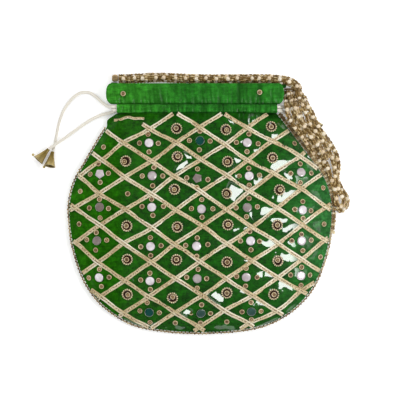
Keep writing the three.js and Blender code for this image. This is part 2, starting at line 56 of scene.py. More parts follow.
# The camera looks straight down; its lens is the sensor width times distance over view width.
def addCamera():
    data = bpy.data.cameras.new("camera")
    data.lens = data.sensor_width * cameraSet["distance"] / cameraSet["viewWidth"]
    camera = bpy.data.objects.new("camera", data)
    camera.location = (cameraSet["centreX"], cameraSet["centreY"], cameraSet["planeZ"] + cameraSet["distance"])
    scene.collection.objects.link(camera)
    scene.camera = camera


addCamera()
print("camera done")


# A shape is a dictionary of points, quads, triangles, uv places and shades.

# Quads between neighbouring rows and columns of a grid of points; either way may close on itself.
def gridFaces(rows, columns, closeRows=False, closeColumns=False):
    row = np.arange(rows if closeRows else rows - 1)[:, None]
    column = np.arange(columns if closeColumns else columns - 1)[None]
    nextRow, nextColumn = (row + 1) % rows, (column + 1) % columns
    corners = [row * columns + column, row * columns + nextColumn,
               nextRow * columns + nextColumn, nextRow * columns + column]
    return np.stack(corners, -1).reshape(-1, 4)


# A fan of triangles from one point to a ring of points that follow each other.
def fanFaces(centre, first, count):
    ring = first + np.arange(count)
    return np.stack([np.full(count, centre), np.roll(ring, -1), ring], -1)


# A shape from its parts; a point without a shade is halfway between dark and light.
def makeShape(points, quads=None, tris=None, uv=None, shade=None):
    points = np.asarray(points, float).reshape(-1, 3)
    return {
        "points": points,
        "quads": np.zeros((0, 4), int) if quads is None else quads,
        "tris": np.zeros((0, 3), int) if tris is None else tris,
        "uv": np.zeros((len(points), 2)) if uv is None else np.asarray(uv, float).reshape(-1, 2),
        "shade": np.full(len(points), 0.5) if shade is None else np.asarray(shade, float).reshape(-1),
    }


# The volume is the sum over triangles of the corners' triple product over six; a closed shape
# with a negative one is turned round.
def outward(shape):
    tris = np.vstack([shape["tris"], shape["quads"][:, [0, 1, 2]], shape["quads"][:, [0, 2, 3]]])
    a, b, c = (shape["points"][tris[:, k]] for k in range(3))
    if np.einsum("ij,ij->i", a, np.cross(b, c)).sum() < 0:
        shape["quads"], shape["tris"] = shape["quads"][:, ::-1], shape["tris"][:, ::-1]
    return shape


# Several shapes as one: each one's faces are shifted by the number of points before it.
def joinShapes(shapes):
    starts = np.cumsum([0] + [len(s["points"]) for s in shapes[:-1]])
    return {
        "points": np.vstack([s["points"] for s in shapes]),
        "quads": np.vstack([s["quads"] + k for s, k in zip(shapes, starts)]),
        "tris": np.vstack([s["tris"] + k for s, k in zip(shapes, starts)]),
        "uv": np.vstack([s["uv"] for s in shapes]),
        "shade": np.concatenate([s["shade"] for s in shapes]),
    }


# Copies of a shape: each point is the place plus the shape's point, sized, along the frame's axes.
def stamp(shape, places, frames, sizes, shadeShift=None):
    places = np.asarray(places, float).reshape(-1, 3)
    count, size = len(places), len(shape["points"])
    sizes = np.broadcast_to(np.asarray(sizes, float), (count, 3))
    points = places[:, None] + np.einsum("kni,kij->knj", shape["points"][None] * sizes[:, None], frames)
    shift = (np.arange(count) * size)[:, None, None]
    shade = np.tile(shape["shade"], (count, 1))
    if shadeShift is not None:
        shade = np.clip(shade + np.asarray(shadeShift)[:, None], 0, 1)
    return {
        "points": points.reshape(-1, 3),
        "quads": (shape["quads"][None] + shift).reshape(-1, 4),
        "tris": (shape["tris"][None] + shift).reshape(-1, 3),
        "uv": np.tile(shape["uv"], (count, 1)),
        "shade": shade.reshape(-1),
    }


# A unit bead: rings of latitude between two pole points.
def beadShape(rings=3, sides=8, shade=0.5):
    lat = np.linspace(0, np.pi, rings + 2)[1:-1, None]
    lon = 2 * np.pi * np.arange(sides)[None] / sides
    ring = np.stack([np.sin(lat) * np.cos(lon), np.sin(lat) * np.sin(lon), np.cos(lat) + 0 * lon], -1)
    points = np.vstack([[[0, 0, 1.0]], ring.reshape(-1, 3), [[0, 0, -1.0]]])
    tris = np.vstack([fanFaces(0, 1, sides), fanFaces(len(points) - 1, 1 + (rings - 1) * sides, sides)[:, ::-1]])
    quads = gridFaces(rings, sides, closeColumns=True) + 1
    return outward(makeShape(points, quads, tris, shade=np.full(len(points), shade)))


# A turned shape: the profile's radius and height carried round the axis. A profile that starts
# and ends on the axis closes in two points; any other closes on itself as a ring.
def latheShape(profile, sides, shades=None, ribs=0, ribDepth=0.0):
    profile = np.asarray(profile, float)
    shades = np.full(len(profile), 0.5) if shades is None else np.asarray(shades, float)
    angle = 2 * np.pi * np.arange(sides) / sides
    onAxis = profile[0, 0] == 0
    inner = profile[1:-1] if onAxis else profile
    radius = inner[:, :1] * (1 + ribDepth * np.cos(ribs * angle)[None])
    ring = np.stack([radius * np.cos(angle), radius * np.sin(angle), inner[:, 1:] + 0 * radius], -1).reshape(-1, 3)
    if not onAxis:
        return outward(makeShape(ring, gridFaces(len(inner), sides, True, True), shade=np.repeat(shades, sides)))
    points = np.vstack([[[0, 0, profile[0, 1]]], ring, [[0, 0, profile[-1, 1]]]])
    tris = np.vstack([fanFaces(0, 1, sides), fanFaces(len(points) - 1, 1 + (len(inner) - 1) * sides, sides)[:, ::-1]])
    shade = np.concatenate([shades[:1], np.repeat(shades[1:-1], sides), shades[-1:]])
    return outward(makeShape(points, gridFaces(len(inner), sides, closeColumns=True) + 1, tris, shade=shade))


# An object made from a shape, with its uv places and shades. It rides on a body unless told not to,
# and it hides the CAD pieces it stands for.
def addPiece(name, shape, material, body, replaces=(), ride=True):
    mesh = bpy.data.meshes.new(name)
    mesh.from_pydata(shape["points"].tolist(), [], shape["quads"].tolist() + shape["tris"].tolist())
    loopPoints = np.zeros(len(mesh.loops), int)
    mesh.loops.foreach_get("vertex_index", loopPoints)
    mesh.uv_layers.new(name="UVMap").data.foreach_set("uv", shape["uv"][loopPoints].astype(np.float32).ravel())
    mesh.attributes.new("shade", "FLOAT", "POINT").data.foreach_set("value", shape["shade"].astype(np.float32))
    mesh.polygons.foreach_set("use_smooth", np.full(len(mesh.polygons), True))
    mesh.materials.append(material)
    mesh.update()
    piece = bpy.data.objects.new(name, mesh)
    scene.collection.objects.link(piece)
    if ride:
        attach(piece, body)
    if replaces:
        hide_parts(*replaces)
    return piece


# A route is a centripetal Catmull-Rom curve: each span is a cubic whose end tangents weigh the
# neighbouring steps by the square roots of their lengths. It is then cut into even steps.
def routeCurve(points, step):
    perSpan = 24
    p = np.asarray(points, float)
    p = np.vstack([2 * p[0] - p[1], p, 2 * p[-1] - p[-2]])
    a, b, c, d = p[:-3], p[1:-2], p[2:-1], p[3:]
    ab, bc, cd = (np.sqrt(np.linalg.norm(t - s, axis=1))[:, None] for s, t in ((a, b), (b, c), (c, d)))
    tangentB = ((b - a) / ab - (c - a) / (ab + bc) + (c - b) / bc) * bc
    tangentC = ((c - b) / bc - (d - b) / (bc + cd) + (d - c) / cd) * bc
    u = (np.arange(perSpan) / perSpan)[None, :, None]
    b, c, tangentB, tangentC = (t[:, None] for t in (b, c, tangentB, tangentC))
    cubic = b + tangentB * u + (3 * c - 3 * b - 2 * tangentB - tangentC) * u**2
    cubic = (cubic + (2 * b - 2 * c + tangentB + tangentC) * u**3).reshape(-1, 3)
    return evenSteps(np.vstack([cubic, p[-2]]), step)


# The distance along a line at each of its points: the running sum of the steps' lengths.
def travelled(line):
    return np.concatenate([[0], np.cumsum(np.linalg.norm(np.diff(line, axis=0), axis=1))])


# Rows of a table at distances along a line, each mixed from the two rows beside it.
def rowsAt(table, along, places):
    return np.stack([np.interp(places, along, table[:, k]) for k in range(3)], -1)


# A line cut again into equal steps, as near to the step as fits a whole number of times.
def evenSteps(line, step):
    along = travelled(line)
    count = max(2, int(round(along[-1] / step)) + 1)
    return rowsAt(line, along, np.linspace(0, along[-1], count))


# Vectors over their own lengths.
def unit(vectors):
    return vectors / np.maximum(np.linalg.norm(vectors, axis=-1, keepdims=True), 1e-12)


# A circle of radius one, as points at even angles.
def circle(sides):
    angle = 2 * np.pi * np.arange(sides) / sides
    return np.stack([np.cos(angle), np.sin(angle)], -1)


# The size of a value to a power, with the value's sign.
def signedPower(value, power):
    return np.sign(value) * np.abs(value) ** power


# Frames along a line: the tangent, the level side across it and the third axis upwards.
def lineFrames(line):
    tangent = unit(np.gradient(line, axis=0))
    side = unit(np.cross([0, 0, 1.0], tangent))
    return tangent, side, np.cross(tangent, side)


# A section carried along a line and turned by the twist times the distance, closed at both ends
# by fans. Its u is the distance along and its v the share round.
def sweepShape(line, section, twist=0.0):
    _, side, up = lineFrames(line)
    sides, count = len(section), len(line)
    along = travelled(line)
    turn = (twist * along)[:, None]
    across = section[None, :, 0] * np.cos(turn) - section[None, :, 1] * np.sin(turn)
    rise = section[None, :, 0] * np.sin(turn) + section[None, :, 1] * np.cos(turn)
    rings = line[:, None] + across[..., None] * side[:, None] + rise[..., None] * up[:, None]
    points = np.vstack([rings.reshape(-1, 3), line[:1], line[-1:]])
    tris = np.vstack([fanFaces(count * sides, 0, sides)[:, ::-1],
                      fanFaces(count * sides + 1, (count - 1) * sides, sides)])
    ringUv = np.stack([np.repeat(along, sides), np.tile(np.arange(sides) / sides, count)], -1)
    uv = np.vstack([ringUv, [[0, 0]], [[along[-1], 0]]])
    return outward(makeShape(points, gridFaces(count, sides, closeColumns=True), tris, uv))


# Materials.

# A new material, its node tree and its main shader.
def newTree(name):
    material = bpy.data.materials.new(name)
    material.use_nodes = True
    return material, material.node_tree, material.node_tree.nodes["Principled BSDF"]


# Values on a node's own sockets.
def setSockets(node, **values):
    for name, value in values.items():
        node.inputs[name].default_value = value


# A node with its settings; an input is linked where a socket is given, and set where a value is.
def node(tree, kind, inputs=None, **settings):
    made = tree.nodes.new(kind)
    for key, value in settings.items():
        setattr(made, key, value)
    for key, value in (inputs or {}).items():
        if isinstance(value, bpy.types.NodeSocket):
            tree.links.new(value, made.inputs[key])
        else:
            made.inputs[key].default_value = value
    return made


# One sum: the operation on the values, in order.
def calc(tree, operation, *values):
    return node(tree, "ShaderNodeMath", dict(enumerate(values)), operation=operation).outputs[0]


# A value carried from the range low to high over to the range start to end, and held past both ends.
def mapRange(tree, value, low, high, start=0.0, end=1.0):
    ends = {"Value": value, "From Min": low, "From Max": high, "To Min": start, "To Max": end}
    return node(tree, "ShaderNodeMapRange", ends).outputs[0]


# Fractal noise from 0 to 1: its cells are one over the scale wide.
def noise(tree, place, scale, detail=2.0, roughness=0.5):
    inputs = {"Vector": place, "Scale": scale, "Detail": detail, "Roughness": roughness}
    return node(tree, "ShaderNodeTexNoise", inputs).outputs["Fac"]


# A colour that runs between stops, each a place from 0 to 1 and a colour.
def ramp(tree, factor, stops):
    made = node(tree, "ShaderNodeValToRGB", {"Fac": factor})
    elements = made.color_ramp.elements
    while len(elements) < len(stops):
        elements.new(0.5)
    for element, (place, colour) in zip(elements, stops):
        element.position = place
        element.color = (*colour, 1)
    return made.outputs["Color"]


# Two colours mixed by a factor, or multiplied.
def mixed(tree, factor, first, second, blend="MIX"):
    made = node(tree, "ShaderNodeMix", {"Factor": factor, 6: first, 7: second}, data_type="RGBA", blend_type=blend)
    return made.outputs[2]


# A colour times a value.
def scaled(tree, colour, value):
    return node(tree, "ShaderNodeVectorMath", {0: colour, 3: value}, operation="SCALE").outputs["Vector"]


# The shader's normal from a height, whose full step is the distance.
def addBump(tree, shader, height, strength, distance):
    made = node(tree, "ShaderNodeBump", {"Height": height, "Strength": strength, "Distance": distance})
    tree.links.new(made.outputs[0], shader.inputs["Normal"])


# A node group with named inputs, their first values, and named outputs.
def newGroup(name, inputs, outputs):
    group = bpy.data.node_groups.new(name, "ShaderNodeTree")
    for label, kind, value in inputs:
        socket = group.interface.new_socket(label, in_out="INPUT", socket_type=kind)
        if value is not None:
            socket.default_value = value
    for label, kind in outputs:
        group.interface.new_socket(label, in_out="OUTPUT", socket_type=kind)
    return group, node(group, "NodeGroupInput"), node(group, "NodeGroupOutput")


# Woven cloth: the height is the product of two sines across each other, plus a slow noise that
# bends the threads, and the mask marks where the threads lie high.
def buildWeave():
    inputs = [("Vector", "NodeSocketVector", None), ("Threads", "NodeSocketFloat", 2400.0),
              ("Slub", "NodeSocketFloat", 0.35)]
    group, given, out = newGroup("clothWeave", inputs, [("Height", "NodeSocketFloat"), ("Mask", "NodeSocketFloat")])
    place, threads = given.outputs["Vector"], given.outputs["Threads"]
    parts = node(group, "ShaderNodeSeparateXYZ", {"Vector": place})
    warp, weft = (calc(group, "SINE", calc(group, "MULTIPLY", parts.outputs[axis], threads)) for axis in "XY")
    stretched = node(group, "ShaderNodeMapping", {"Vector": place, "Scale": (1.0, 7.0, 1.0)})
    slub = noise(group, stretched.outputs[0], 130.0)
    height = calc(group, "MULTIPLY_ADD", slub, given.outputs["Slub"], calc(group, "MULTIPLY", warp, weft))
    group.links.new(height, out.inputs["Height"])
    group.links.new(slub, out.inputs["Mask"])
    return group


# Uneven metal: a noise mixes a dark and a light tone.
def buildMetalTone():
    inputs = [("Vector", "NodeSocketVector", None), ("Scale", "NodeSocketFloat", 400.0),
              ("Dark", "NodeSocketColor", (0.2, 0.12, 0.04, 1)), ("Light", "NodeSocketColor", (0.9, 0.75, 0.45, 1))]
    group, given, out = newGroup("metalTone", inputs, [("Color", "NodeSocketColor")])
    tone = mapRange(group, noise(group, given.outputs["Vector"], given.outputs["Scale"]), 0.3, 0.7)
    group.links.new(mixed(group, tone, given.outputs["Dark"], given.outputs["Light"]), out.inputs["Color"])
    return group


weaveGroup = buildWeave()
metalGroup = buildMetalTone()


# The weave group placed in a material.
def addWeave(tree, place, threads, slub):
    inputs = {"Vector": place, "Threads": threads, "Slub": slub}
    return node(tree, "ShaderNodeGroup", inputs, node_tree=weaveGroup).outputs


satinSet = {
    # Greens from left to right: the satin's own tone, with a painted sheen at the pale right end of the body and the
    # pale left end of the neck.
    "bodyGreensAndSheen": [(0.0, (0.0135, 0.104, 0.0012)), (0.45, (0.0055, 0.074, 0.0008)), (0.80, (0.0068, 0.084, 0.0030)),
                   (1.0, (0.024, 0.140, 0.028))],
    "neckGreensAndSheen": [(0.0, (0.0175, 0.112, 0.0075)), (0.45, (0.0080, 0.070, 0.0060)), (1.0, (0.0080, 0.068, 0.0060))],
    "halfWidth": 0.11, "cloudScale": 200.0, "cloudRange": (0.36, 0.64), "paintedShadeTones": (0.55, 1.45),
    "threads": 2600.0, "slub": 0.5, "slubTones": (0.5, 1.5), "weaveDepth": 0.0002,
    "roughness": 0.45, "specular": 0.08, "coat": 0.9, "dullCoat": 0.06, "coatRoughness": 0.05, "coatIor": 1.85,
    "glossyWest": (-0.074, -0.064), "glossyEast": (0.080, 0.088),  # where the gloss starts and where it ends
    "glossyNorth": (0.026, 0.034), "glossyTop": (0.0785, 0.081),
}


# Green satin: the tone runs across from left to right, the satin's own tone with a painted sheen at its
# pale end; clouds of noise and the weave mix in darker green, and the shade attribute adds painted shade
# and painted highlights. A clear coat lies over it; a glossy one fades to dull at the left, at the neck,
# and at the right below its north line.
def buildSatin(name, greensAndSheen, coat, tone, clouds):
    material, tree, shader = newTree(name)
    place = node(tree, "ShaderNodeTexCoord").outputs["Object"]
    parts = node(tree, "ShaderNodeSeparateXYZ", {"Vector": place})
    across, up = parts.outputs["X"], parts.outputs["Y"]
    base = ramp(tree, mapRange(tree, across, -satinSet["halfWidth"], satinSet["halfWidth"]), greensAndSheen)
    cloud = noise(tree, place, satinSet["cloudScale"], 6.0, 0.85)
    cloud = mapRange(tree, cloud, *satinSet["cloudRange"], (1 - clouds) * tone, (1 + clouds) * tone)
    # Painted shade: the shade attribute darkens the satin beside the ribbons, under the channel and in the gathers'
    # hollows, and lightens their crests.
    shade = node(tree, "ShaderNodeAttribute", attribute_name="shade").outputs["Fac"]
    paintedShade = mapRange(tree, shade, 0.0, 1.0, *satinSet["paintedShadeTones"])
    weave = addWeave(tree, place, satinSet["threads"], satinSet["slub"])
    slub = mapRange(tree, weave["Mask"], 0.0, 1.0, *satinSet["slubTones"])
    total = calc(tree, "MULTIPLY", calc(tree, "MULTIPLY", cloud, paintedShade), slub)
    tree.links.new(scaled(tree, base, total), shader.inputs["Base Color"])
    addBump(tree, shader, weave["Height"], 0.12, satinSet["weaveDepth"])
    dull = satinSet["dullCoat"]
    if coat > dull:
        gloss = mapRange(tree, across, *satinSet["glossyEast"], coat, dull)
        gloss = calc(tree, "MAXIMUM", gloss, mapRange(tree, up, *satinSet["glossyNorth"], 0.0, coat))
        gloss = calc(tree, "MINIMUM", gloss, mapRange(tree, across, *satinSet["glossyWest"], dull, coat))
        gloss = calc(tree, "MINIMUM", gloss, mapRange(tree, up, *satinSet["glossyTop"], coat, dull))
        tree.links.new(gloss, shader.inputs["Coat Weight"])
    setSockets(shader, **{"Roughness": satinSet["roughness"], "Coat Weight": coat,
                          "Coat Roughness": satinSet["coatRoughness"], "Coat IOR": satinSet["coatIor"],
                          "Specular IOR Level": satinSet["specular"]})
    return material


# Plain cloth for linings and cords: a colour between two by the weave's mask, with its height.
def buildCloth(name, dark, light, threads, roughness, useUv=False):
    material, tree, shader = newTree(name)
    weave = addWeave(tree, node(tree, "ShaderNodeTexCoord").outputs["UV" if useUv else "Object"], threads, 0.8)
    tree.links.new(ramp(tree, weave["Mask"], [(0.3, dark), (0.65, light)]), shader.inputs["Base Color"])
    addBump(tree, shader, weave["Height"], 0.3, 0.0003)
    setSockets(shader, **{"Roughness": roughness, "Sheen Weight": 0.3, "Sheen Roughness": 0.5})
    return material


ribbonSet = {
    "speckScale": (900.0, 3.4), "slowScale": (45.0, 0.4), "ribStep": 0.0009, "ribShare": 0.35,
    "middle": (0.10, 0.26), "outline": (0.42, 0.49), "outlineTone": 0.3,  # distances from the centre line
    "edgeTones": [(0.3, (0.46, 0.34, 0.15)), (0.46, (0.70, 0.58, 0.33)), (0.62, (0.92, 0.86, 0.68))],
    "speckTones": [(0.38, (0.12, 0.05, 0.025)), (0.47, (0.38, 0.25, 0.13)), (0.60, (0.78, 0.69, 0.48))],
}


# Gold ribbon: v runs across it and u along it. Two pale edges, a darker middle that is speckled
# by a noise, a painted shadow that darkens it along both edges, and fine ribs across.
def buildRibbon():
    material, tree, shader = newTree("goldRibbon")
    uv = node(tree, "ShaderNodeTexCoord").outputs["UV"]
    parts = node(tree, "ShaderNodeSeparateXYZ", {"Vector": uv})
    places = (node(tree, "ShaderNodeMapping", {"Vector": uv, "Scale": (*scale, 1.0)}).outputs[0]
              for scale in (ribbonSet["speckScale"], ribbonSet["slowScale"]))
    speck, slow = (noise(tree, place, 1.0) for place in places)
    off = calc(tree, "ABSOLUTE", calc(tree, "SUBTRACT", parts.outputs["Y"], 0.5))
    colour = mixed(tree, mapRange(tree, off, *ribbonSet["middle"], 1.0, 0.0),
                   ramp(tree, slow, ribbonSet["edgeTones"]), ramp(tree, speck, ribbonSet["speckTones"]))
    # Painted shadow: the ribbon darkens towards both edges.
    outline = mapRange(tree, off, *ribbonSet["outline"], 1.0, ribbonSet["outlineTone"])
    tree.links.new(scaled(tree, colour, outline), shader.inputs["Base Color"])
    rib = calc(tree, "SINE", calc(tree, "MULTIPLY", parts.outputs["X"], 2 * np.pi / ribbonSet["ribStep"]))
    addBump(tree, shader, calc(tree, "MULTIPLY_ADD", rib, ribbonSet["ribShare"], speck), 0.5, 0.0003)
    setSockets(shader, Metallic=0.15, Roughness=0.42)
    return material


# Beads and metal: the shade attribute picks a tone from a ramp, and the metal group varies it.
def buildShaded(name, stops, metallic, roughness, coat=0.0, dark=(0.6, 0.6, 0.6), scale=400.0):
    material, tree, shader = newTree(name)
    place = node(tree, "ShaderNodeTexCoord").outputs["Object"]
    tone = ramp(tree, node(tree, "ShaderNodeAttribute", attribute_name="shade").outputs["Fac"], stops)
    inputs = {"Vector": place, "Scale": scale, "Dark": (*dark, 1), "Light": (1, 1, 1, 1)}
    metal = node(tree, "ShaderNodeGroup", inputs, node_tree=metalGroup)
    tree.links.new(mixed(tree, 1.0, tone, metal.outputs["Color"], "MULTIPLY"), shader.inputs["Base Color"])
    setSockets(shader, **{"Metallic": metallic, "Roughness": roughness, "Coat Weight": coat, "Coat Roughness": 0.08})
    return material


satin = buildSatin("greenSatin", satinSet["bodyGreensAndSheen"], satinSet["coat"], 1.0, 0.6)
neckSatin = buildSatin("neckSatin", satinSet["neckGreensAndSheen"], 0.04, 2.2, 0.45)
liningCloth = buildCloth("liningCloth", (0.02, 0.12, 0.025), (0.04, 0.2, 0.045), 2600.0, 0.8)
cordSatin = buildCloth("cordSatin", (0.72, 0.66, 0.54), (0.93, 0.90, 0.82), 5200.0, 0.5, useUv=True)
goldRibbon = buildRibbon()
edgeGold = buildShaded(
    "edgeGold", [(0.0, (0.08, 0.035, 0.008)), (0.5, (0.40, 0.26, 0.10)), (1.0, (0.90, 0.76, 0.48))], 0.2, 0.28, 0.4)
handleGold = buildShaded(
    "handleGold", [(0.0, (0.15, 0.075, 0.014)), (0.5, (0.50, 0.33, 0.11)), (1.0, (0.94, 0.76, 0.42))], 0.25, 0.25,
    0.4)
pearl = buildShaded(
    "creamPearl", [(0.0, (0.70, 0.52, 0.32)), (0.5, (0.90, 0.78, 0.58)), (1.0, (0.96, 0.90, 0.76))], 0.0, 0.22, 0.6,
    dark=(0.85, 0.8, 0.75))
bellGold = buildShaded(
    "bellGold", [(0.0, (0.12, 0.08, 0.015)), (0.5, (0.40, 0.28, 0.07)), (1.0, (0.90, 0.74, 0.36))], 0.45, 0.25)
spangleTone = buildShaded(
    "spangleTone", [(0.0, (0.028, 0.006, 0.002)), (0.3, (0.16, 0.06, 0.018)), (0.6, (0.58, 0.38, 0.17)),
                    (1.0, (0.95, 0.82, 0.52))], 0.1, 0.3, 0.4)
cupDark = buildShaded("cupDark", [(0.0, (0.022, 0.010, 0.006)), (1.0, (0.10, 0.035, 0.015))], 0.1, 0.2, 0.5)
# Mirror glass: its colours, from dark green to near white, and its noise are painted reflections.
mirrorGlass = buildShaded(
    "mirrorGlass", [(0.0, (0.01, 0.09, 0.075)), (0.35, (0.26, 0.22, 0.19)), (0.7, (0.70, 0.65, 0.66)),
                    (1.0, (0.97, 0.94, 0.96))], 0.1, 0.10, dark=(0.70, 0.64, 0.66), scale=190.0)
mirrorRim = buildShaded("mirrorRim", [(0.0, (0.3, 0.3, 0.3)), (1.0, (0.6, 0.58, 0.56))], 0.7, 0.35)
threadGold = buildShaded("threadGold", [(0.0, (0.25, 0.15, 0.05)), (1.0, (0.75, 0.55, 0.28))], 0.5, 0.4)
print("materials done")


# The bells, the drawstrings and the handle. Sizes are in mm from here on.

bodySet = {
    "thickness": 20.0, "seamHeight": 4.0, "gap": 0.3, "fabric": 1.0, "bellyY": -10.0, "neckY": 85.2,
    "neckShift": -3.3, "shiftY": 20.0, "bottom": -108.6, "bellyPower": 2.6, "neckPower": 4.5, "backPower": 6.0,
    "backFlat": 0.1, "neckRise": 7.85, "channelLeft": -73.9, "channelRight": 67.7,
}
cordSet = {
    "width": 3.0, "thickness": 1.5, "twist": 6.0, "insideLength": 12.0, "step": 1.0, "sides": 14,
    "innerDiameter": 2.4, "runGap": 0.3, "runSteps": 60,
}

cordRoutes = {
    "left_drawstring_front_tail": [
        (-74.2, 90.9, 11.1), (-78.0, 90.9, 10.6), (-81.5, 91.4, 8.6), (-85.5, 93.6, 6.0), (-89.5, 97.2, 3.6),
        (-94.0, 101.2, 2.0), (-99.6, 104.1, 1.4), (-106.6, 103.7, 1.4), (-112.4, 100.2, 1.4), (-117.8, 94.3, 1.4),
        (-122.2, 87.2, 1.4), (-125.4, 78.6, 1.4), (-127.4, 69.8, 1.4), (-128.8, 61.8, 1.4), (-130.0, 56.6, 1.5),
        (-131.2, 52.3, 1.9)],
    "left_drawstring_back_tail": [
        (-74.2, 87.8, 2.1), (-80.1, 86.2, 1.7), (-88.9, 83.8, 1.4), (-97.8, 79.6, 1.4), (-106.6, 73.7, 1.4),
        (-115.5, 67.3, 1.5), (-121.4, 62.9, 2.4), (-126.2, 59.6, 4.1), (-130.6, 56.6, 4.5), (-134.6, 54.0, 3.4)],
    "right_drawstring_front_tail": [
        (68.0, 87.8, 11.1), (70.5, 87.6, 10.6), (73.6, 86.6, 8.4), (76.6, 84.8, 5.2), (79.6, 82.6, 2.6),
        (83.0, 79.8, 1.6), (86.6, 76.4, 1.8)],
    "right_drawstring_back_tail": [
        (68.0, 90.9, 2.1), (73.0, 91.0, 1.6), (80.0, 90.4, 1.4), (87.0, 88.6, 1.4), (92.6, 86.2, 1.4),
        (96.6, 83.6, 1.8)],
}
bellPlaces = {  # the top and the mouth of each bell
    "left_bell_1": ((-134.9, 53.6, 3.3), (-144.6, 43.2, 5.2)),
    "left_bell_2": ((-131.4, 51.5, 1.8), (-133.9, 38.0, 5.1)),
    "right_bell_1": ((87.0, 75.9, 1.8), (94.8, 64.8, 5.1)),
    "right_bell_2": ((96.9, 83.2, 1.8), (104.7, 72.1, 5.1)),
}
bellSet = {
    "length": 13.6, "mouth": 5.0, "top": 1.5, "wall": 0.5, "crown": 2.6, "ribs": 18, "ribDepth": 0.045, "sides": 54,
    "stations": [(0.0, 0.0), (0.06, 0.02), (0.15, 0.06), (0.3, 0.17), (0.44, 0.31), (0.6, 0.47), (0.74, 0.63),
                 (0.86, 0.79), (0.95, 0.91), (1.0, 1.0)],  # share of the length and of the flare
}


# A bell: radius over distance from the top, out to the flared mouth and back inside to the crown.
def addBells():
    stations = np.array(bellSet["stations"])
    along = stations[:, 0] * bellSet["length"]
    outer = bellSet["top"] + stations[:, 1] * (bellSet["mouth"] - bellSet["top"])
    inner = outer[3:][::-1] - bellSet["wall"]
    profile = np.vstack([[[0, 0]], np.stack([outer, along], -1),
                         [[bellSet["mouth"] + 0.25, bellSet["length"] - 0.2]],
                         np.stack([inner, along[3:][::-1]], -1), [[0, bellSet["crown"]]]])
    # Painted shade and highlight: the shades darken the inside towards the crown and make the lip lightest; the
    # outside grows lighter towards the mouth.
    shades = np.concatenate([[0.4], 0.35 + 0.4 * stations[:, 1], [1.0], 0.25 - 0.03 * np.arange(len(inner)), [0.0]])
    shape = latheShape(profile, bellSet["sides"], shades, bellSet["ribs"], bellSet["ribDepth"])
    ball = beadShape(7, 14, 0.8)
    for name, (top, mouth) in bellPlaces.items():
        axis = unit(np.subtract(mouth, top))
        side = unit(np.cross(axis, [0, 0, 1.0]))
        frameRows = np.stack([side, np.cross(axis, side), axis])
        cap = stamp(shape, np.array(top) * mm, frameRows[None], mm)
        addPiece(name + "_cap", cap, bellGold, name, [name])
        low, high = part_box(name + "_bead")
        middle, size = (np.array(low) + np.array(high)) / 2, np.array(high) - np.array(low)
        bead = stamp(ball, middle, np.eye(3)[None], size.max() / 2)
        addPiece(name + "_ball", bead, bellGold, name, [name + "_bead"])


# A flat cord: a rounded rectangle section, wider than it is thick, carried along its route. It
# starts a little way inside its channel, and the run beyond is a round cord.
def addDrawstrings():
    angle = 2 * np.pi * np.arange(cordSet["sides"]) / cordSet["sides"]
    soft = np.stack([signedPower(np.cos(angle), 0.8) * cordSet["width"] / 2,
                     np.sin(angle) * cordSet["thickness"] / 2], -1) * mm
    roundSection = circle(cordSet["sides"]) * cordSet["innerDiameter"] / 2 * mm
    for name, route in cordRoutes.items():
        side, _, layer, _ = name.split("_")
        body = side + "_drawstring"
        away = 1 if side == "left" else -1
        exitPoint = np.array(route[0])
        inside = exitPoint + [away * cordSet["insideLength"], 0, 0]
        line = routeCurve(np.vstack([inside, (inside + exitPoint) / 2, route]) * mm, cordSet["step"] * mm)
        tail = sweepShape(line, soft, cordSet["twist"])
        tail = addPiece(name + "_cord", tail, cordSatin, body, [name])
        run = name.replace("tail", "run")
        low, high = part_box(run)
        runEnd = high[0] if side == "left" else low[0]
        runLine = np.linspace(inside * mm + [away * cordSet["runGap"] * mm, 0, 0],
                              [runEnd, exitPoint[1] * mm, exitPoint[2] * mm], cordSet["runSteps"])
        addPiece(run + "_cord", sweepShape(runLine, roundSection), cordSatin, body, [run])


topRoutes = [
    [(-72.7, 114.0, 2.1), (-55.0, 114.6, 2.1), (-38.0, 115.4, 2.1), (-15.0, 114.5, 2.1), (10.0, 114.0, 2.1),
     (35.0, 114.1, 2.1), (56.0, 113.9, 2.1), (68.0, 113.6, 2.1), (74.5, 112.9, 2.1), (79.4, 111.4, 2.1),
     (82.4, 109.2, 2.1), (83.7, 107.7, 2.1)],
    [(-72.7, 116.0, 5.5), (-55.0, 116.6, 5.5), (-38.0, 117.4, 5.5), (-15.0, 116.5, 5.5), (10.0, 116.0, 5.5),
     (35.0, 116.1, 5.5), (56.0, 115.9, 5.5), (68.0, 115.5, 5.5), (75.4, 114.5, 5.5), (80.8, 112.6, 5.5),
     (84.4, 109.9, 5.5), (85.7, 107.9, 5.5)],
    [(-72.7, 118.0, 2.1), (-55.0, 118.6, 2.1), (-38.0, 119.4, 2.1), (-15.0, 118.5, 2.1), (10.0, 118.0, 2.1),
     (35.0, 118.1, 2.1), (56.0, 118.0, 2.1), (68.0, 117.6, 2.1), (76.4, 116.4, 2.1), (82.6, 114.0, 2.1),
     (86.6, 110.6, 2.1), (87.8, 108.1, 2.1)],
]
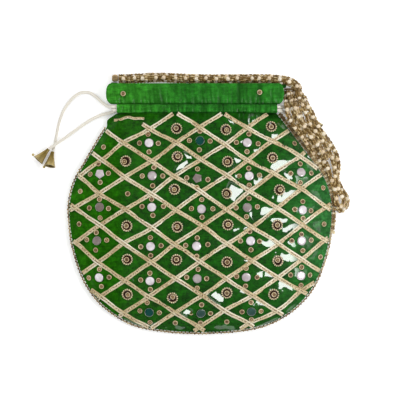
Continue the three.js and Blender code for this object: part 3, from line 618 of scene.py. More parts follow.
loopRoutes = [
    [(83.7, 105.7, 2.1), (83.7, 104.0, 2.1), (84.2, 99.0, 5.4), (85.2, 91.6, 14.5), (88.0, 84.0, 14.6),
     (90.3, 78.0, 13.4), (94.4, 72.0, 12.4), (99.2, 66.0, 12.4), (103.4, 60.0, 11.2), (107.4, 54.0, 7.4),
     (110.2, 49.6, 4.6), (111.6, 46.6, 4.6), (111.8, 45.2, 6.8), (110.8, 46.4, 9.2), (108.6, 50.0, 10.4),
     (105.2, 54.4, 12.2), (101.0, 60.0, 14.8), (96.7, 66.0, 16.0), (91.9, 72.0, 16.0), (87.6, 78.0, 17.2),
     (85.2, 84.0, 18.6), (82.4, 92.4, 19.0), (79.2, 99.0, 10.8), (77.9, 103.8, 5.9), (77.9, 105.7, 5.6)],
    [(85.7, 105.7, 5.5), (85.7, 104.0, 5.5), (88.0, 99.0, 7.0), (89.6, 91.6, 14.8), (93.4, 84.0, 14.6),
     (95.6, 78.0, 13.4), (99.4, 72.0, 12.4), (104.2, 66.0, 12.4), (108.4, 60.0, 11.2), (112.4, 54.0, 7.4),
     (115.6, 48.0, 4.2), (117.8, 42.0, 3.6), (119.0, 36.0, 4.9), (119.8, 28.0, 6.0), (122.4, 18.0, 6.0),
     (126.0, 11.0, 6.0), (127.2, 6.6, 6.0), (125.4, 3.4, 6.0), (122.2, 3.2, 6.0), (120.2, 6.4, 6.2),
     (119.9, 12.0, 6.2), (118.4, 20.0, 6.2), (115.2, 28.0, 6.0), (113.4, 36.0, 5.2), (110.9, 42.0, 2.7),
     (106.7, 48.0, 3.2), (102.4, 54.0, 7.4), (98.4, 60.0, 11.2), (94.2, 66.0, 12.4), (89.4, 72.0, 12.4),
     (85.0, 78.0, 13.4), (82.5, 84.0, 14.6), (80.6, 91.6, 14.5), (79.9, 99.0, 5.4), (79.8, 104.0, 2.1),
     (79.8, 105.7, 2.1)],
    [(87.8, 105.7, 2.1), (87.9, 104.0, 2.1), (91.9, 99.0, 5.4), (94.2, 91.6, 14.5), (98.8, 84.0, 14.6),
     (101.0, 78.0, 13.4), (104.4, 72.0, 12.4), (109.0, 66.0, 12.4), (113.4, 60.0, 11.2), (117.4, 54.0, 7.4),
     (120.6, 48.0, 3.6), (121.9, 42.0, 2.1), (122.2, 36.0, 2.1), (121.0, 28.0, 2.1), (124.8, 19.0, 2.1),
     (129.2, 12.0, 2.1), (130.4, 6.6, 2.1), (128.4, 1.6, 2.1), (124.2, -0.8, 2.1), (120.9, 1.8, 2.1),
     (120.4, 7.0, 2.1), (119.9, 13.0, 2.1), (118.9, 20.0, 2.1), (115.4, 28.0, 2.1), (110.4, 36.0, 2.1),
     (106.2, 42.0, 2.1), (102.3, 48.0, 3.2), (97.4, 54.0, 7.4), (93.4, 60.0, 11.2), (89.2, 66.0, 12.4),
     (84.4, 72.0, 12.4), (79.8, 78.0, 13.4), (77.3, 84.0, 14.6), (76.0, 91.6, 14.5), (75.9, 99.0, 5.4),
     (75.9, 104.0, 2.1), (75.9, 105.7, 2.1)],
]
strandSet = {
    "diameter": 3.6, "step": 0.4, "repeat": 9.2, "pearl": 2.05, "pearlJitter": 0.12, "sway": 0.55,
    "core": (1.85, 0.6), "coreShade": 0.12, "rods": 5, "rodBeads": 3, "rod": 0.74, "rodOverlap": 1.04,
    "wide": 1.8, "tall": 0.7, "twist": 60.0, "besidePearl": 0.6, "shortest": 1.2,
    "bendStart": (0.0818, 0.110, 0.009), "bendEnd": (0.0818, 0.097, 0.009),
}


# A bead strand: a pearl at every repeat along the route, and between two pearls rows of short
# gold rods round a dark core, on an oval that turns by the twist times the distance.
def addHandle():
    rng = np.random.default_rng(11)
    pearlBead, rodBead = beadShape(5, 10), beadShape(3, 6)
    for number, (top, loop) in enumerate(zip(topRoutes, loopRoutes), 1):
        line = routeCurve(np.array(top + loop) * mm, strandSet["step"] * mm)
        along = travelled(line)
        tangent, side, up = lineFrames(line)
        count = int(along[-1] / (strandSet["repeat"] * mm))
        pearls = (np.arange(count) + 0.5 + strandSet["pearlJitter"] * rng.standard_normal(count)) * along[-1] / count
        shift = rng.uniform(-0.3, 0.5, count)
        frames = np.stack([rowsAt(axis, along, pearls) for axis in (side, up, tangent)], 1)
        size = strandSet["pearl"] * mm * rng.uniform(0.9, 1.05, count)[:, None] * np.array([1.0, 1.0, 0.94])
        sway = strandSet["sway"] * mm * rng.uniform(-1, 1, (count, 1)) * frames[:, 0]
        pearlShape = stamp(pearlBead, rowsAt(line, along, pearls) + sway, frames, size, shift)
        edges = np.concatenate([[0], pearls, [along[-1]]])
        starts, ends = edges[:-1] + strandSet["besidePearl"] * mm, edges[1:] - strandSet["besidePearl"] * mm
        starts[0], ends[-1] = edges[0], edges[-1]
        keep = ends - starts > strandSet["shortest"] * mm
        starts, ends = starts[keep], ends[keep]
        beads = strandSet["rodBeads"]
        centres = starts[:, None] + (ends - starts)[:, None] * ((np.arange(beads) + 0.5) / beads)
        half = np.broadcast_to((ends - starts)[:, None] / beads / 2 * strandSet["rodOverlap"], centres.shape)
        turns = rng.uniform(0, 2 * np.pi, len(starts))[:, None] + 0 * centres
        rods = []
        for rod in range(strandSet["rods"]):
            angle = turns + 2 * np.pi * rod / strandSet["rods"] + strandSet["twist"] * (centres - starts[:, None])
            places = (centres + rng.uniform(-0.4, 0.4, centres.shape) * half).ravel()
            angle = angle.ravel()[:, None]
            frames = np.stack([unit(rowsAt(axis, along, places)) for axis in (side, up, tangent)], 1)
            reach = strandSet["wide"] * np.cos(angle) * frames[:, 0]
            reach = reach + strandSet["tall"] * np.sin(angle) * frames[:, 1]
            thick = np.full(len(places), strandSet["rod"] * mm)
            rods.append(stamp(rodBead, rowsAt(line, along, places) + mm * reach, frames,
                              np.stack([thick, thick, half.ravel()], -1), rng.uniform(-0.45, 0.5, len(places))))
        core = sweepShape(line, circle(6) * strandSet["core"] * mm)
        core["shade"][:] = strandSet["coreShade"]
        name = f"handle_strand_{number}"
        strand = addPiece(name + "_beads", joinShapes([core, *rods]), handleGold, "sack",
                          [name + "_top", name + "_loop"], ride=False)
        pearlPiece = addPiece(name + "_pearls", pearlShape, pearl, "sack", ride=False)
        for piece in (strand, pearlPiece):
            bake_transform(piece)


addBells()
addDrawstrings()
addHandle()
print("cords done")


# The satin body.

outlinePoints = np.array([
    [-46, -104.7], [0, -108.6], [46, -104.7], [73.5, -94.1], [96.5, -72.9], [110.6, -41.0], [116.2, -3.9],
    [112.0, 22.7], [99.6, 43.9], [85.4, 65.2], [77.9, 75.8], [70.8, 85.2]])


# The seam outline as half widths: an even Catmull-Rom curve through its points, without the
# first span. The last point is repeated to end it.
def outlineCurve():
    perSpan = 60
    p = np.vstack([outlinePoints, outlinePoints[-1:]])
    a, b, c, d = (p[k:len(p) - 3 + k][:, None] for k in range(4))
    u = (np.arange(perSpan) / perSpan)[None, :, None]
    curve = b + 0.5 * (c - a) * u + (-3 * b + 3 * c - (c - a) - 0.5 * (d - b)) * u**2
    curve = curve + (2 * b - 2 * c + 0.5 * (c - a) + 0.5 * (d - b)) * u**3
    return np.vstack([curve.reshape(-1, 2), outlinePoints[-1:]])


outlineLine = outlineCurve()


# Half the width at a height, straight between the outline's points.
def halfWidth(y):
    return np.interp(y, outlineLine[:, 1], outlineLine[:, 0])


# Three times the square of the share between low and high, less twice its cube, from 0 to 1.
def smoothStep(value, low, high):
    t = np.clip((value - low) / (high - low), 0, 1)
    return t * t * (3 - 2 * t)


# The middle of the width: it moves to the neck's shift as it rises.
def centreLine(y):
    return bodySet["neckShift"] * smoothStep(y, bodySet["shiftY"], bodySet["neckY"])


# The distance from the middle, over half the width.
def acrossShare(x, y):
    return np.abs(x - centreLine(y)) / np.maximum(halfWidth(y), 1)


# The distance below the belly's height, over the whole way down, from 0 to 1.
def downShare(y):
    return np.clip((bodySet["bellyY"] - y) / (bodySet["bellyY"] - bodySet["bottom"]), 0, 1)


# The front's height: the seam's height plus a rise that falls off with a power of the share
# across and a power of the share down, both easing to the flatter neck.
def frontHeight(x, y):
    edgeTop = bodySet["seamHeight"] + bodySet["gap"] / 2 + bodySet["fabric"]
    across, down = np.minimum(1, acrossShare(x, y)), downShare(y)
    up = smoothStep(y, bodySet["bellyY"], bodySet["neckY"])
    belly = (bodySet["thickness"] - edgeTop) * (1 - down ** bodySet["bellyPower"])
    rise = belly + (bodySet["neckRise"] - belly) * up
    power = bodySet["bellyPower"] + (bodySet["neckPower"] - bodySet["bellyPower"]) * up
    return edgeTop + rise * (1 - across**power)


# The back's lower face: flat on the table and turned up to the seam by a high power.
def backHeight(x, y):
    edge = bodySet["seamHeight"] - bodySet["gap"] / 2 - bodySet["fabric"]
    across, down = np.minimum(1, acrossShare(x, y)), downShare(y)
    lift = 1 - (1 - across ** bodySet["backPower"]) * (1 - down ** bodySet["backPower"])
    return edge * np.clip((lift - bodySet["backFlat"]) / (1 - bodySet["backFlat"]), 0, 1)


latticeSet = {"pitchX": 44.25, "pitchY": 29.8, "nodeX": 0.7, "nodeY": 14.2, "shiftReach": 11.0}
quiltSet = {
    "puff": 1.9, "power": 0.62, "edgeFade": 0.10, "wrinkle": 0.20, "crumple": 0.05, "gather": 0.10,
    "gatherFrom": 68, "gatherTo": 85, "base": 0.05,
}
nodeShifts = {  # how far hand work moved each crossing: half columns, half rows, then mm
    (-1, 5): (-1.2, -3.2), (1, 5): (-2.6, -3.6), (3, 5): (-7.0, -3.6), (-2, 4): (-1.1, -2.7), (0, 4): (-1.1, -0.4),
    (2, 4): (-4.0, -1.8), (-3, 3): (-2.4, 0.1), (-1, 3): (0.6, 0.1), (1, 3): (-1.1, -1.7), (3, 3): (-3.6, 1.8),
    (-4, 2): (0.6, 0.4), (-2, 2): (0.6, -1.4), (0, 2): (-0.3, 0.4), (2, 2): (-4.4, -1.0), (4, 2): (-1.2, 3.8),
    (-5, 1): (2.4, 0.7), (-3, 1): (-0.7, -0.2), (-1, 1): (-1.6, 0.2), (1, 1): (0.7, 1.1), (3, 1): (-2.7, 3.1),
    (5, 1): (-2.6, 3.1), (-4, 0): (-1.6, 0.5), (-2, 0): (0.6, -0.3), (0, 0): (-0.3, 1.4), (2, 0): (-1.5, 2.3),
    (4, 0): (-0.6, 4.7), (-5, -1): (-1.2, 3.0), (-3, -1): (-0.3, 0.9), (-1, -1): (0.3, 0.9), (1, -1): (0.6, 1.2),
    (3, -1): (1.2, 2.2), (5, -1): (0.0, 3.1), (-4, -2): (-1.5, 2.0), (-2, -2): (0.2, -0.4), (0, -2): (1.6, 1.3),
    (2, -2): (0.0, 0.0), (4, -2): (1.0, 2.5), (-5, -3): (-1.3, 1.4), (-3, -3): (-2.1, 0.4), (-1, -3): (-0.6, 0.3),
    (1, -3): (0.3, 0.4), (3, -3): (2.3, 1.0), (5, -3): (-1.5, 3.5), (-4, -4): (-2.9, -1.1), (-2, -4): (0.3, -0.4),
    (0, -4): (-1.5, -0.5), (2, -4): (1.0, 0.0), (4, -4): (0.4, 1.4), (-3, -5): (-0.9, -2.7), (-1, -5): (0.0, 0.0),
    (1, -5): (-0.2, -0.7), (3, -5): (1.6, 0.5), (-4, -6): (-0.5, -1.6), (-2, -6): (-2.1, -1.6), (0, -6): (1.6, -0.4),
    (2, -6): (1.0, -0.4), (4, -6): (0.0, 3.4), (-3, -7): (-2.8, -1.9), (-1, -7): (-0.9, -1.3), (1, -7): (-1.5, 0.6),
    (3, -7): (0.0, 0.0), (-2, -8): (-0.8, -0.2), (0, -8): (-2.0, 1.0), (2, -8): (-2.1, 4.2),
}


# The shift of the trellis at a place: the mean of the crossings' shifts, weighted by a bell
# curve of the distance to each.
def trellisShift(x, y):
    total, moveX, moveY = 1e-9, 0.0, 0.0
    for (column, row), (shiftX, shiftY) in nodeShifts.items():
        nodeX = latticeSet["nodeX"] + column * latticeSet["pitchX"] / 2
        nodeY = latticeSet["nodeY"] + row * latticeSet["pitchY"] / 2
        weight = np.exp(-((x - nodeX)**2 + (y - nodeY)**2) / (2 * latticeSet["shiftReach"]**2))
        total, moveX, moveY = total + weight, moveX + weight * shiftX, moveY + weight * shiftY
    return moveX / total, moveY / total


# Places in the trellis, moved by its shift: each ribbon lies where u or v is a whole number.
def latticeUv(x, y):
    moveX, moveY = trellisShift(x, y)
    x, y = x - moveX, y - moveY
    a, b = (x - latticeSet["nodeX"]) / latticeSet["pitchX"], (y - latticeSet["nodeY"]) / latticeSet["pitchY"]
    return b - a, b + a


# Soft noise: a sum of sine waves with random directions and phases, of wavelengths between two.
def waves(x, y, seed, shortest, longest, count=14, stretch=(1.0, 1.0)):
    rng = np.random.default_rng(seed)
    direction, phase = rng.uniform(0, 2 * np.pi, count), rng.uniform(0, 2 * np.pi, count)
    wave = 2 * np.pi / np.exp(rng.uniform(np.log(shortest), np.log(longest), count))
    total = 0.0
    for k in range(count):
        way = stretch[0] * x * np.cos(direction[k]) + stretch[1] * y * np.sin(direction[k])
        total = total + np.sin(wave[k] * way + phase[k])
    return total / np.sqrt(count / 2)


# How far the satin stands above the strips: each cell of the trellis puffs up as the product of
# two sines to a power, and fades at the seam. The neck is gathered in ridges that run down.
def quiltRise(x, y):
    u, v = latticeUv(x, y)
    cell = (np.abs(np.sin(np.pi * u)) * np.abs(np.sin(np.pi * v))) ** quiltSet["power"]
    fade = smoothStep(1 - np.maximum(acrossShare(x, y), downShare(y)), 0.0, quiltSet["edgeFade"])
    wrinkle = quiltSet["wrinkle"] * waves(x, y, 3, 9, 30) + quiltSet["crumple"] * waves(x, y, 4, 3.5, 9)
    gather = quiltSet["gather"] * waves(x, 0 * y, 5, 2.2, 6.0) - quiltSet["base"]
    gather = smoothStep(y, quiltSet["gatherFrom"], quiltSet["gatherTo"]) * gather
    return np.maximum(fade * cell * (quiltSet["puff"] + wrinkle), 0) + fade * (gather + quiltSet["base"])


glossLamp = (0.46, -0.10, 0.64)
glossFolds = [  # centre, half length, half width and turn in degrees
    (-15.9, 37.4, 9.0, 5.0, 34), (-11.0, 47.0, 6.6, 2.7, -34), (32.7, 43.5, 6.2, 2.8, -34),
    (32.4, 16.2, 10.4, 11.8, 0), (31.4, 29.3, 3.6, 2.4, -34), (68.4, 38.8, 10.0, 6.2, 25),
    (77.3, 29.7, 7.0, 3.0, -34), (97.9, 46.9, 5.5, 3.0, -40), (63.5, 10.5, 2.4, 1.5, -20),
    (67.4, -9.4, 10.5, 4.2, -5), (27.0, 77.8, 5.0, 1.9, -30), (36.5, 60.1, 3.2, 2.2, 0),
    (14.8, -77.2, 8.6, 6.0, -20), (-12.2, -90.3, 5.5, 3.4, 10), (-55.6, -59.9, 5.0, 1.8, 25),
    (61.5, -21.0, 4.0, 1.4, 0), (79.2, -29.8, 7.5, 3.6, -34), (66.8, -35.7, 4.0, 1.8, 0),
    (47.7, 53.3, 2.6, 1.6, 0), (-8.4, 24.0, 2.6, 1.4, -34),
]
foldSet = {"soft": 0.18, "besideStrip": (0.18, 0.33), "lowest": -0.75, "raise": 0.2}


# The cover's height. In each gloss fold the cloth lies as a flat facet, turned halfway between
# straight up and the gloss lamp, and cut off beside the strips.
def coverHeight(x, y):
    base = frontHeight(x, y)
    height = base + quiltRise(x, y)
    u, v = latticeUv(x, y)
    clear = smoothStep(np.minimum(np.abs(np.sin(np.pi * u)), np.abs(np.sin(np.pi * v))), *foldSet["besideStrip"])
    for foldX, foldY, length, width, turn in glossFolds:
        turn = np.radians(turn)
        along = (x - foldX) * np.cos(turn) + (y - foldY) * np.sin(turn)
        across = (y - foldY) * np.cos(turn) - (x - foldX) * np.sin(turn)
        window = clear * smoothStep(1 - np.hypot(along / length, across / width), 0, foldSet["soft"])
        toLamp = np.array(glossLamp) - np.array([foldX, foldY, 10.0]) * mm
        normal = toLamp / np.linalg.norm(toLamp) + [0, 0, 1]
        facet = -(normal[0] * (x - foldX) + normal[1] * (y - foldY)) / normal[2]
        middle = frontHeight(foldX, foldY) + quiltRise(foldX, foldY) + foldSet["raise"]
        height = height + window * (np.maximum(middle + facet, base + foldSet["lowest"]) - height)
    return height


shoulderSet = {"out": 4.0, "y": 79.5, "spread": 4.2}
coverSet = {
    "frontGrid": (190, 214), "backGrid": (110, 120), "lowest": 0.012, "frontDepth": 0.9, "backDepth": 1.0,
    "stripShade": 0.16, "slowTone": 0.10, "underChannelShade": 0.25, "ripple": 0.18,
}


# Plan points in rows up the body, evenly shared along the outline and across the width.
def planGrid(rows, columns):
    along = np.linspace(coverSet["lowest"], 1, rows) * (len(outlineLine) - 1)
    index = np.arange(len(outlineLine))
    width, y = np.interp(along, index, outlineLine[:, 0]), np.interp(along, index, outlineLine[:, 1])
    side = np.linspace(-1, 1, columns)[None]
    across = 0.55 * side + 0.45 * np.sin(side * np.pi / 2)
    x = centreLine(y)[:, None] + width[:, None] * across
    # The left shoulder stands out a little just below the channel.
    bulge = shoulderSet["out"] * np.exp(-((y - shoulderSet["y"]) / shoulderSet["spread"])**2)
    x = x - bulge[:, None] * smoothStep(-side, 0.5, 1.0)
    return x, np.broadcast_to(y[:, None], x.shape)


# A closed sheet between two height grids, with a wall round the rim.
def sheetShape(x, y, upper, lower, shade=None):
    rows, columns = x.shape
    layer = rows * columns
    pairs = ((x, x), (y, y), (upper, lower))
    points = np.stack([np.concatenate([g.ravel() for g in pair]) for pair in pairs], -1) * mm
    faces = gridFaces(rows, columns)
    grid = np.arange(layer).reshape(rows, columns)
    rim = np.concatenate([grid[0, :-1], grid[:-1, -1], grid[-1, :0:-1], grid[:0:-1, 0]])
    ahead = np.roll(rim, -1)
    wall = np.stack([rim + layer, ahead + layer, ahead, rim], -1)
    tone = np.full(layer, 0.5) if shade is None else shade.ravel()
    return outward(makeShape(points, np.vstack([faces, faces[:, ::-1] + layer, wall]),
                             uv=points[:, :2] / mm / 100, shade=np.concatenate([tone, tone])))


# The two covers. The front's shade holds painted shade, darker beside the ribbons and below the channel,
# and a slow noise varies it; the back is a plain sheet with a low ripple.
def addCovers():
    x, y = planGrid(*coverSet["frontGrid"])
    u, v = latticeUv(x, y)
    nearStrip = np.minimum(np.abs(u - np.round(u)), np.abs(v - np.round(v)))
    # Painted shade beside the ribbons and under the channel; the slow noise is the satin's own uneven tone.
    shade = 0.5 + coverSet["stripShade"] * (smoothStep(nearStrip, 0.05, 0.3) - 0.6)
    shade = shade + coverSet["slowTone"] * waves(x, y, 8, 14, 40)
    shade = np.clip(shade - coverSet["underChannelShade"] * smoothStep(y, 80, bodySet["neckY"]), 0, 1)
    front = sheetShape(x, y, coverHeight(x, y), frontHeight(x, y) - coverSet["frontDepth"], shade)
    top = addPiece("front_cover", front, satin, "sack", ["front_panel"])
    x, y = planGrid(*coverSet["backGrid"])
    height = backHeight(x, y)
    ripple = coverSet["ripple"] * (1 + waves(x, y, 12, 12, 40)) * smoothStep(height, -0.1, 0.6)
    back = sheetShape(x, y, height + coverSet["backDepth"], np.maximum(0, height - ripple))
    back = addPiece("back_cover", back, neckSatin, "sack", ["back_panel"])


headerSet = {
    "left": -83.6, "right": 73.9, "base": 93.6, "height": 18.1, "thickness": 2.4, "frontZ": 10.4,
    "channelBase": 85.4, "channelHeight": 7.9, "channelDepth": 4.2, "channelZ": 9.0, "wall": 0.65,
}


gatherSet = {"lean": 0.015, "count": 18, "stretch": (1.0, 0.35), "power": 0.8, "fade": 0.72}


# Ridges of gathered satin: noise along x whose places lean apart with height above the stitch
# line, strongest there and weaker towards the fold.
def gathers(x, share, seed, fine, strength):
    middle = (headerSet["left"] + headerSet["right"]) / 2
    spread = middle + (x - middle) * (1 - gatherSet["lean"] * share)
    ridge = waves(spread, 6 * share, seed, fine, 4 * fine, gatherSet["count"], gatherSet["stretch"])
    return strength * signedPower(ridge, gatherSet["power"]) * (1 - gatherSet["fade"] * share)


frillSet = {
    "stations": 330, "loop": 36, "corner": (0.93, 0.07), "cornerPower": 2.6, "cornerLeast": 0.02,
    "fine": 2.4, "gather": 0.58, "slow": 0.35, "foldShade": 0.32, "stitchShade": 0.5, "slowTone": 0.14,
}


# A band: at each station along x a rounded flat loop, whose height shrinks round the corners of
# both ends. The folds push its face out by the gathers, and its shade is painted: lighter on the folds'
# crests, darker in their hollows and along the stitch line at its base.
def bandShape(zLow, zHigh, faceUp, seed):
    stations, loop = frillSet["stations"], frillSet["loop"]
    t = np.linspace(-1, 1, stations)
    middle, half = (headerSet["left"] + headerSet["right"]) / 2, (headerSet["right"] - headerSet["left"]) / 2
    x = middle + half * (0.86 * t + 0.14 * np.sin(t * np.pi / 2))[:, None]
    endShare = np.abs((x - middle) / half)
    corner = np.clip((endShare - frillSet["corner"][0]) / frillSet["corner"][1], 0, 1)
    size = np.maximum(np.sqrt(np.maximum(0, 1 - corner ** frillSet["cornerPower"])), frillSet["cornerLeast"])
    size = size * (1 + 0.004 * waves(x, 0 * x, seed, 20, 60))
    angle = (2 * np.pi * np.arange(loop) / loop)[None]
    across, rise = np.cos(angle), np.sin(angle)
    yHalf, zHalf = headerSet["height"] / 2, (zHigh - zLow) / 2
    y = headerSet["base"] + yHalf + yHalf * size * signedPower(across, 0.5)
    share = np.clip((y - headerSet["base"]) / headerSet["height"], 0, 1)
    thin = 0.55 + 0.45 * smoothStep(share, 0.0, 0.3)
    fold = gathers(x, share, seed, frillSet["fine"], frillSet["gather"])
    fold = fold + frillSet["slow"] * waves(x, y, seed + 1, 14, 45) * share
    ease = smoothStep(1 - endShare, 0.0, 0.06)
    face = signedPower(rise, 0.6)
    onFace = np.maximum(face if faceUp else -face, 0) * ease
    z = (zLow + zHigh) / 2 + zHalf * thin * np.minimum(1, size * 1.3) * face
    z = z + (fold if faceUp else 0.0) * onFace
    # Painted shade and highlight on the folds, and painted shade along the stitch line.
    shade = 0.5 + frillSet["foldShade"] * fold * onFace
    shade = shade - frillSet["stitchShade"] * (1 - smoothStep(share, 0.0, 0.13))
    shade = shade + frillSet["slowTone"] * waves(x, 0 * y, seed + 5, 5, 30)
    rings = np.stack([x + 0 * y, y, np.maximum(z, 0.0)], -1).reshape(-1, 3) * mm
    points = np.vstack([rings, rings[:loop].mean(0)[None], rings[-loop:].mean(0)[None]])
    tris = np.vstack([fanFaces(len(rings), 0, loop)[:, ::-1], fanFaces(len(rings) + 1, len(rings) - loop, loop)])
    shade = np.concatenate([np.clip(shade, 0.02, 1).ravel(), [0.5, 0.5]])
    faces = gridFaces(stations, loop, closeColumns=True)
    return outward(makeShape(points, faces, tris, points[:, :2] / mm / 100, shade))


sleeveSet = {
    "stations": 300, "loop": 32, "fine": 1.9, "gather": 0.46, "slow": 0.12, "tone": 0.46, "foldShade": 0.42,
    "slowTone": 0.10, "foldedShade": 0.35, "stitchShade": 0.25, "insideShade": 0.3,
}


# A sleeve open at both ends: an outer and an inner loop at each station along x, joined at the
# ends. Its outer face is puckered by the gathers, and its ends stay plain. Its shade is painted: lighter
# on the puckers' crests, darker in their hollows, along its top fold, along the stitch line and inside.
def sleeveShape(zLow, faceUp, seed):
    stations, loop = sleeveSet["stations"], sleeveSet["loop"]
    x = np.linspace(bodySet["channelLeft"], bodySet["channelRight"], stations)[:, None]
    angle = (2 * np.pi * np.arange(loop) / loop)[None]
    across, rise = signedPower(np.cos(angle), 0.55), signedPower(np.sin(angle), 0.55)
    middleY = headerSet["channelBase"] + headerSet["channelHeight"] / 2
    middleZ = zLow + headerSet["channelDepth"] / 2
    share = np.clip(0.5 + 0.5 * across + 0 * x, 0, 1)
    pucker = gathers(x + 0 * across, 0.3 * share, seed, sleeveSet["fine"], sleeveSet["gather"])
    pucker = pucker + sleeveSet["slow"] * waves(x, 5 * share, seed + 2, 2, 6)
    onFace = np.maximum(rise if faceUp else -rise, 0)
    rings = []
    for wall, lift in ((0.0, 1.0), (headerSet["wall"], 0.0)):
        y = middleY + (headerSet["channelHeight"] / 2 - wall) * across + 0 * x
        z = middleZ + (headerSet["channelDepth"] / 2 - wall) * rise + 0 * x
        z = z + lift * onFace * (pucker if faceUp else 0.0)
        rings.append(np.stack([x + 0 * y, y, np.maximum(z, 0.0 if lift else headerSet["wall"])], -1))
    points = np.vstack([r.reshape(-1, 3) for r in rings]) * mm
    outer = gridFaces(stations, loop, closeColumns=True)
    layer = stations * loop
    ends = []
    for row in (0, stations - 1):
        ring = row * loop + np.arange(loop)
        ahead = np.roll(ring, -1)
        end = np.stack([ring, ahead, ahead + layer, ring + layer], -1)
        ends.append(end[:, ::-1] if row == 0 else end)
    # Painted shade and highlight on the puckers, and painted shade at the top fold, the stitch line and inside.
    tone = sleeveSet["tone"] + sleeveSet["foldShade"] * pucker * onFace
    tone = tone + sleeveSet["slowTone"] * waves(x + 0 * across, 0 * across, seed + 7, 6, 30)
    tone = tone - sleeveSet["foldedShade"] * smoothStep(share, 0.78, 1.0)
    tone = tone - sleeveSet["stitchShade"] * (1 - smoothStep(share, 0.0, 0.2))
    shade = np.concatenate([np.clip(tone, 0.02, 1).ravel(), np.full(layer, sleeveSet["insideShade"])])
    return outward(makeShape(points, np.vstack([outer, outer[:, ::-1] + layer] + [e[:, ::-1] for e in ends]),
                             uv=points[:, :2] / mm / 100, shade=shade))


# The header bands and the sleeves of the channel, front and back, each one a gathered sheet.
def addNeck():
    zFront, thick = headerSet["frontZ"], headerSet["thickness"]
    frontFrill = addPiece("front_frill", bandShape(zFront, zFront + thick, True, 21), neckSatin, "front_header",
                          ["front_header"])
    backFrill = addPiece("back_frill", bandShape(0.0, thick, False, 31), neckSatin, "sack",
                         ["back_header"])
    frontSleeve = addPiece("front_sleeve", sleeveShape(headerSet["channelZ"], True, 41), neckSatin, "sack",
                           ["front_channel"])
    backSleeve = addPiece("back_sleeve", sleeveShape(0.0, False, 51), neckSatin, "sack",
                          ["back_channel"])


stripSet = {
    "width": 3.9, "thickness": 0.55, "lift": 0.35, "over": 0.8, "overEnds": (0.30, 0.62), "step": 1.5,
    "share": [0.0, 0.08, 0.3, 0.5, 0.7, 0.92, 1.0], "crown": [0.0, 0.8, 1.0, 0.72, 1.0, 0.8, 0.0],
    "margin": 0.5, "topMargin": 0.4, "bottomMargin": 1.0, "reach": 122, "waver": 0.3, "crumple": 0.05,
    "uvShift": 0.37, "shortFrom": -51.5, "neckWidth": 2.5, "neckLift": 0.9,
}


# A ribbon laid on the front: along a plan line it carries a low crowned section, and its height
# follows the front. Beside a crossing it rises over the other ribbon by the over value. Its u is
# the distance along and its v the share across.
def ribbonShape(plan, width, lift, seed, over=0.0):
    line = np.column_stack([plan, np.zeros(len(plan))])
    line = evenSteps(line, stripSet["step"])
    along = travelled(line)
    tangent = unit(np.gradient(line, axis=0))
    side = np.stack([-tangent[:, 1], tangent[:, 0]], -1)
    line = line[:, :2] + side * (stripSet["waver"] * waves(along, 0 * along, seed, 25, 90))[:, None]
    share, crown = np.array(stripSet["share"]), np.array(stripSet["crown"]) * stripSet["thickness"]
    loopShare = np.concatenate([share, share[-2:0:-1]])
    loopRise = np.concatenate([crown, np.zeros(len(share) - 2)])
    place = line[:, None] + (loopShare[None, :, None] - 0.5) * width * side[:, None]
    x, y = place[..., 0], place[..., 1]
    atCrossing = 1 - smoothStep(np.abs(np.sin(np.pi * latticeUv(*line.T)[0])), *stripSet["overEnds"])[:, None]
    z = frontHeight(x, y) + lift + over * atCrossing + loopRise[None]
    z = z + stripSet["crumple"] * waves(x, y, seed + 50, 4, 12)
    rings = np.stack([x, y, z], -1)
    sides = len(loopShare)
    points = np.vstack([rings.reshape(-1, 3), rings[0].mean(0)[None], rings[-1].mean(0)[None]]) * mm
    tris = np.vstack([fanFaces(len(points) - 2, 0, sides)[:, ::-1],
                      fanFaces(len(points) - 1, (len(line) - 1) * sides, sides)])
    ahead = along[:, None] * mm + stripSet["uvShift"] * seed
    uv = np.stack(np.broadcast_arrays(ahead, loopShare[None]), -1).reshape(-1, 2)
    uv = np.vstack([uv, uv[:1], uv[-1:]])
    return outward(makeShape(points, gridFaces(len(line), sides, closeColumns=True), tris, uv))


# The trellis: lines of one slope and its mirror, moved by the crossings' shifts and cut where
# they leave the front.
def addTrellis():
    slope = latticeSet["pitchY"] / latticeSet["pitchX"]
    for family, sign, over in (("rising", 1, 0.0), ("falling", -1, stripSet["over"])):
        for number in range(1, 10):
            x = np.arange(-stripSet["reach"], stripSet["reach"] + 0.01, 0.5)
            y = latticeSet["nodeY"] + (number - 6) * latticeSet["pitchY"] + sign * slope * (x - latticeSet["nodeX"])
            moveX, moveY = trellisShift(x, y)
            x, y = x + moveX, y + moveY
            inside = y < bodySet["neckY"] - stripSet["topMargin"]
            inside &= y > bodySet["bottom"] + stripSet["bottomMargin"]
            inside &= np.abs(x - centreLine(y)) < halfWidth(y) - stripSet["margin"]
            if sign < 0 and number == 7:
                inside &= x > stripSet["shortFrom"]
            shape = ribbonShape(np.stack([x[inside], y[inside]], -1), stripSet["width"], stripSet["lift"],
                                number + (20 if sign < 0 else 0), over)
            strip = f"{family}_strip_{number}"
            addPiece(f"{family}_ribbon_{number}", shape, goldRibbon, "sack", [strip])
    wavy = np.array([(-76.6, 79.4, 0), (-71.2, 79.6, 0), (-66.5, 81.4, 0), (-63.0, 81.9, 0), (-58.9, 80.7, 0),
                     (-53.5, 80.9, 0), (-49.6, 80.6, 0)])
    ribbon = ribbonShape(routeCurve(wavy, 1.0)[:, :2], stripSet["neckWidth"], stripSet["neckLift"], 61)
    addPiece("neck_ribbon", ribbon, goldRibbon, "sack", ["neck_strip"])


addCovers()
addNeck()
addTrellis()
print("body done")


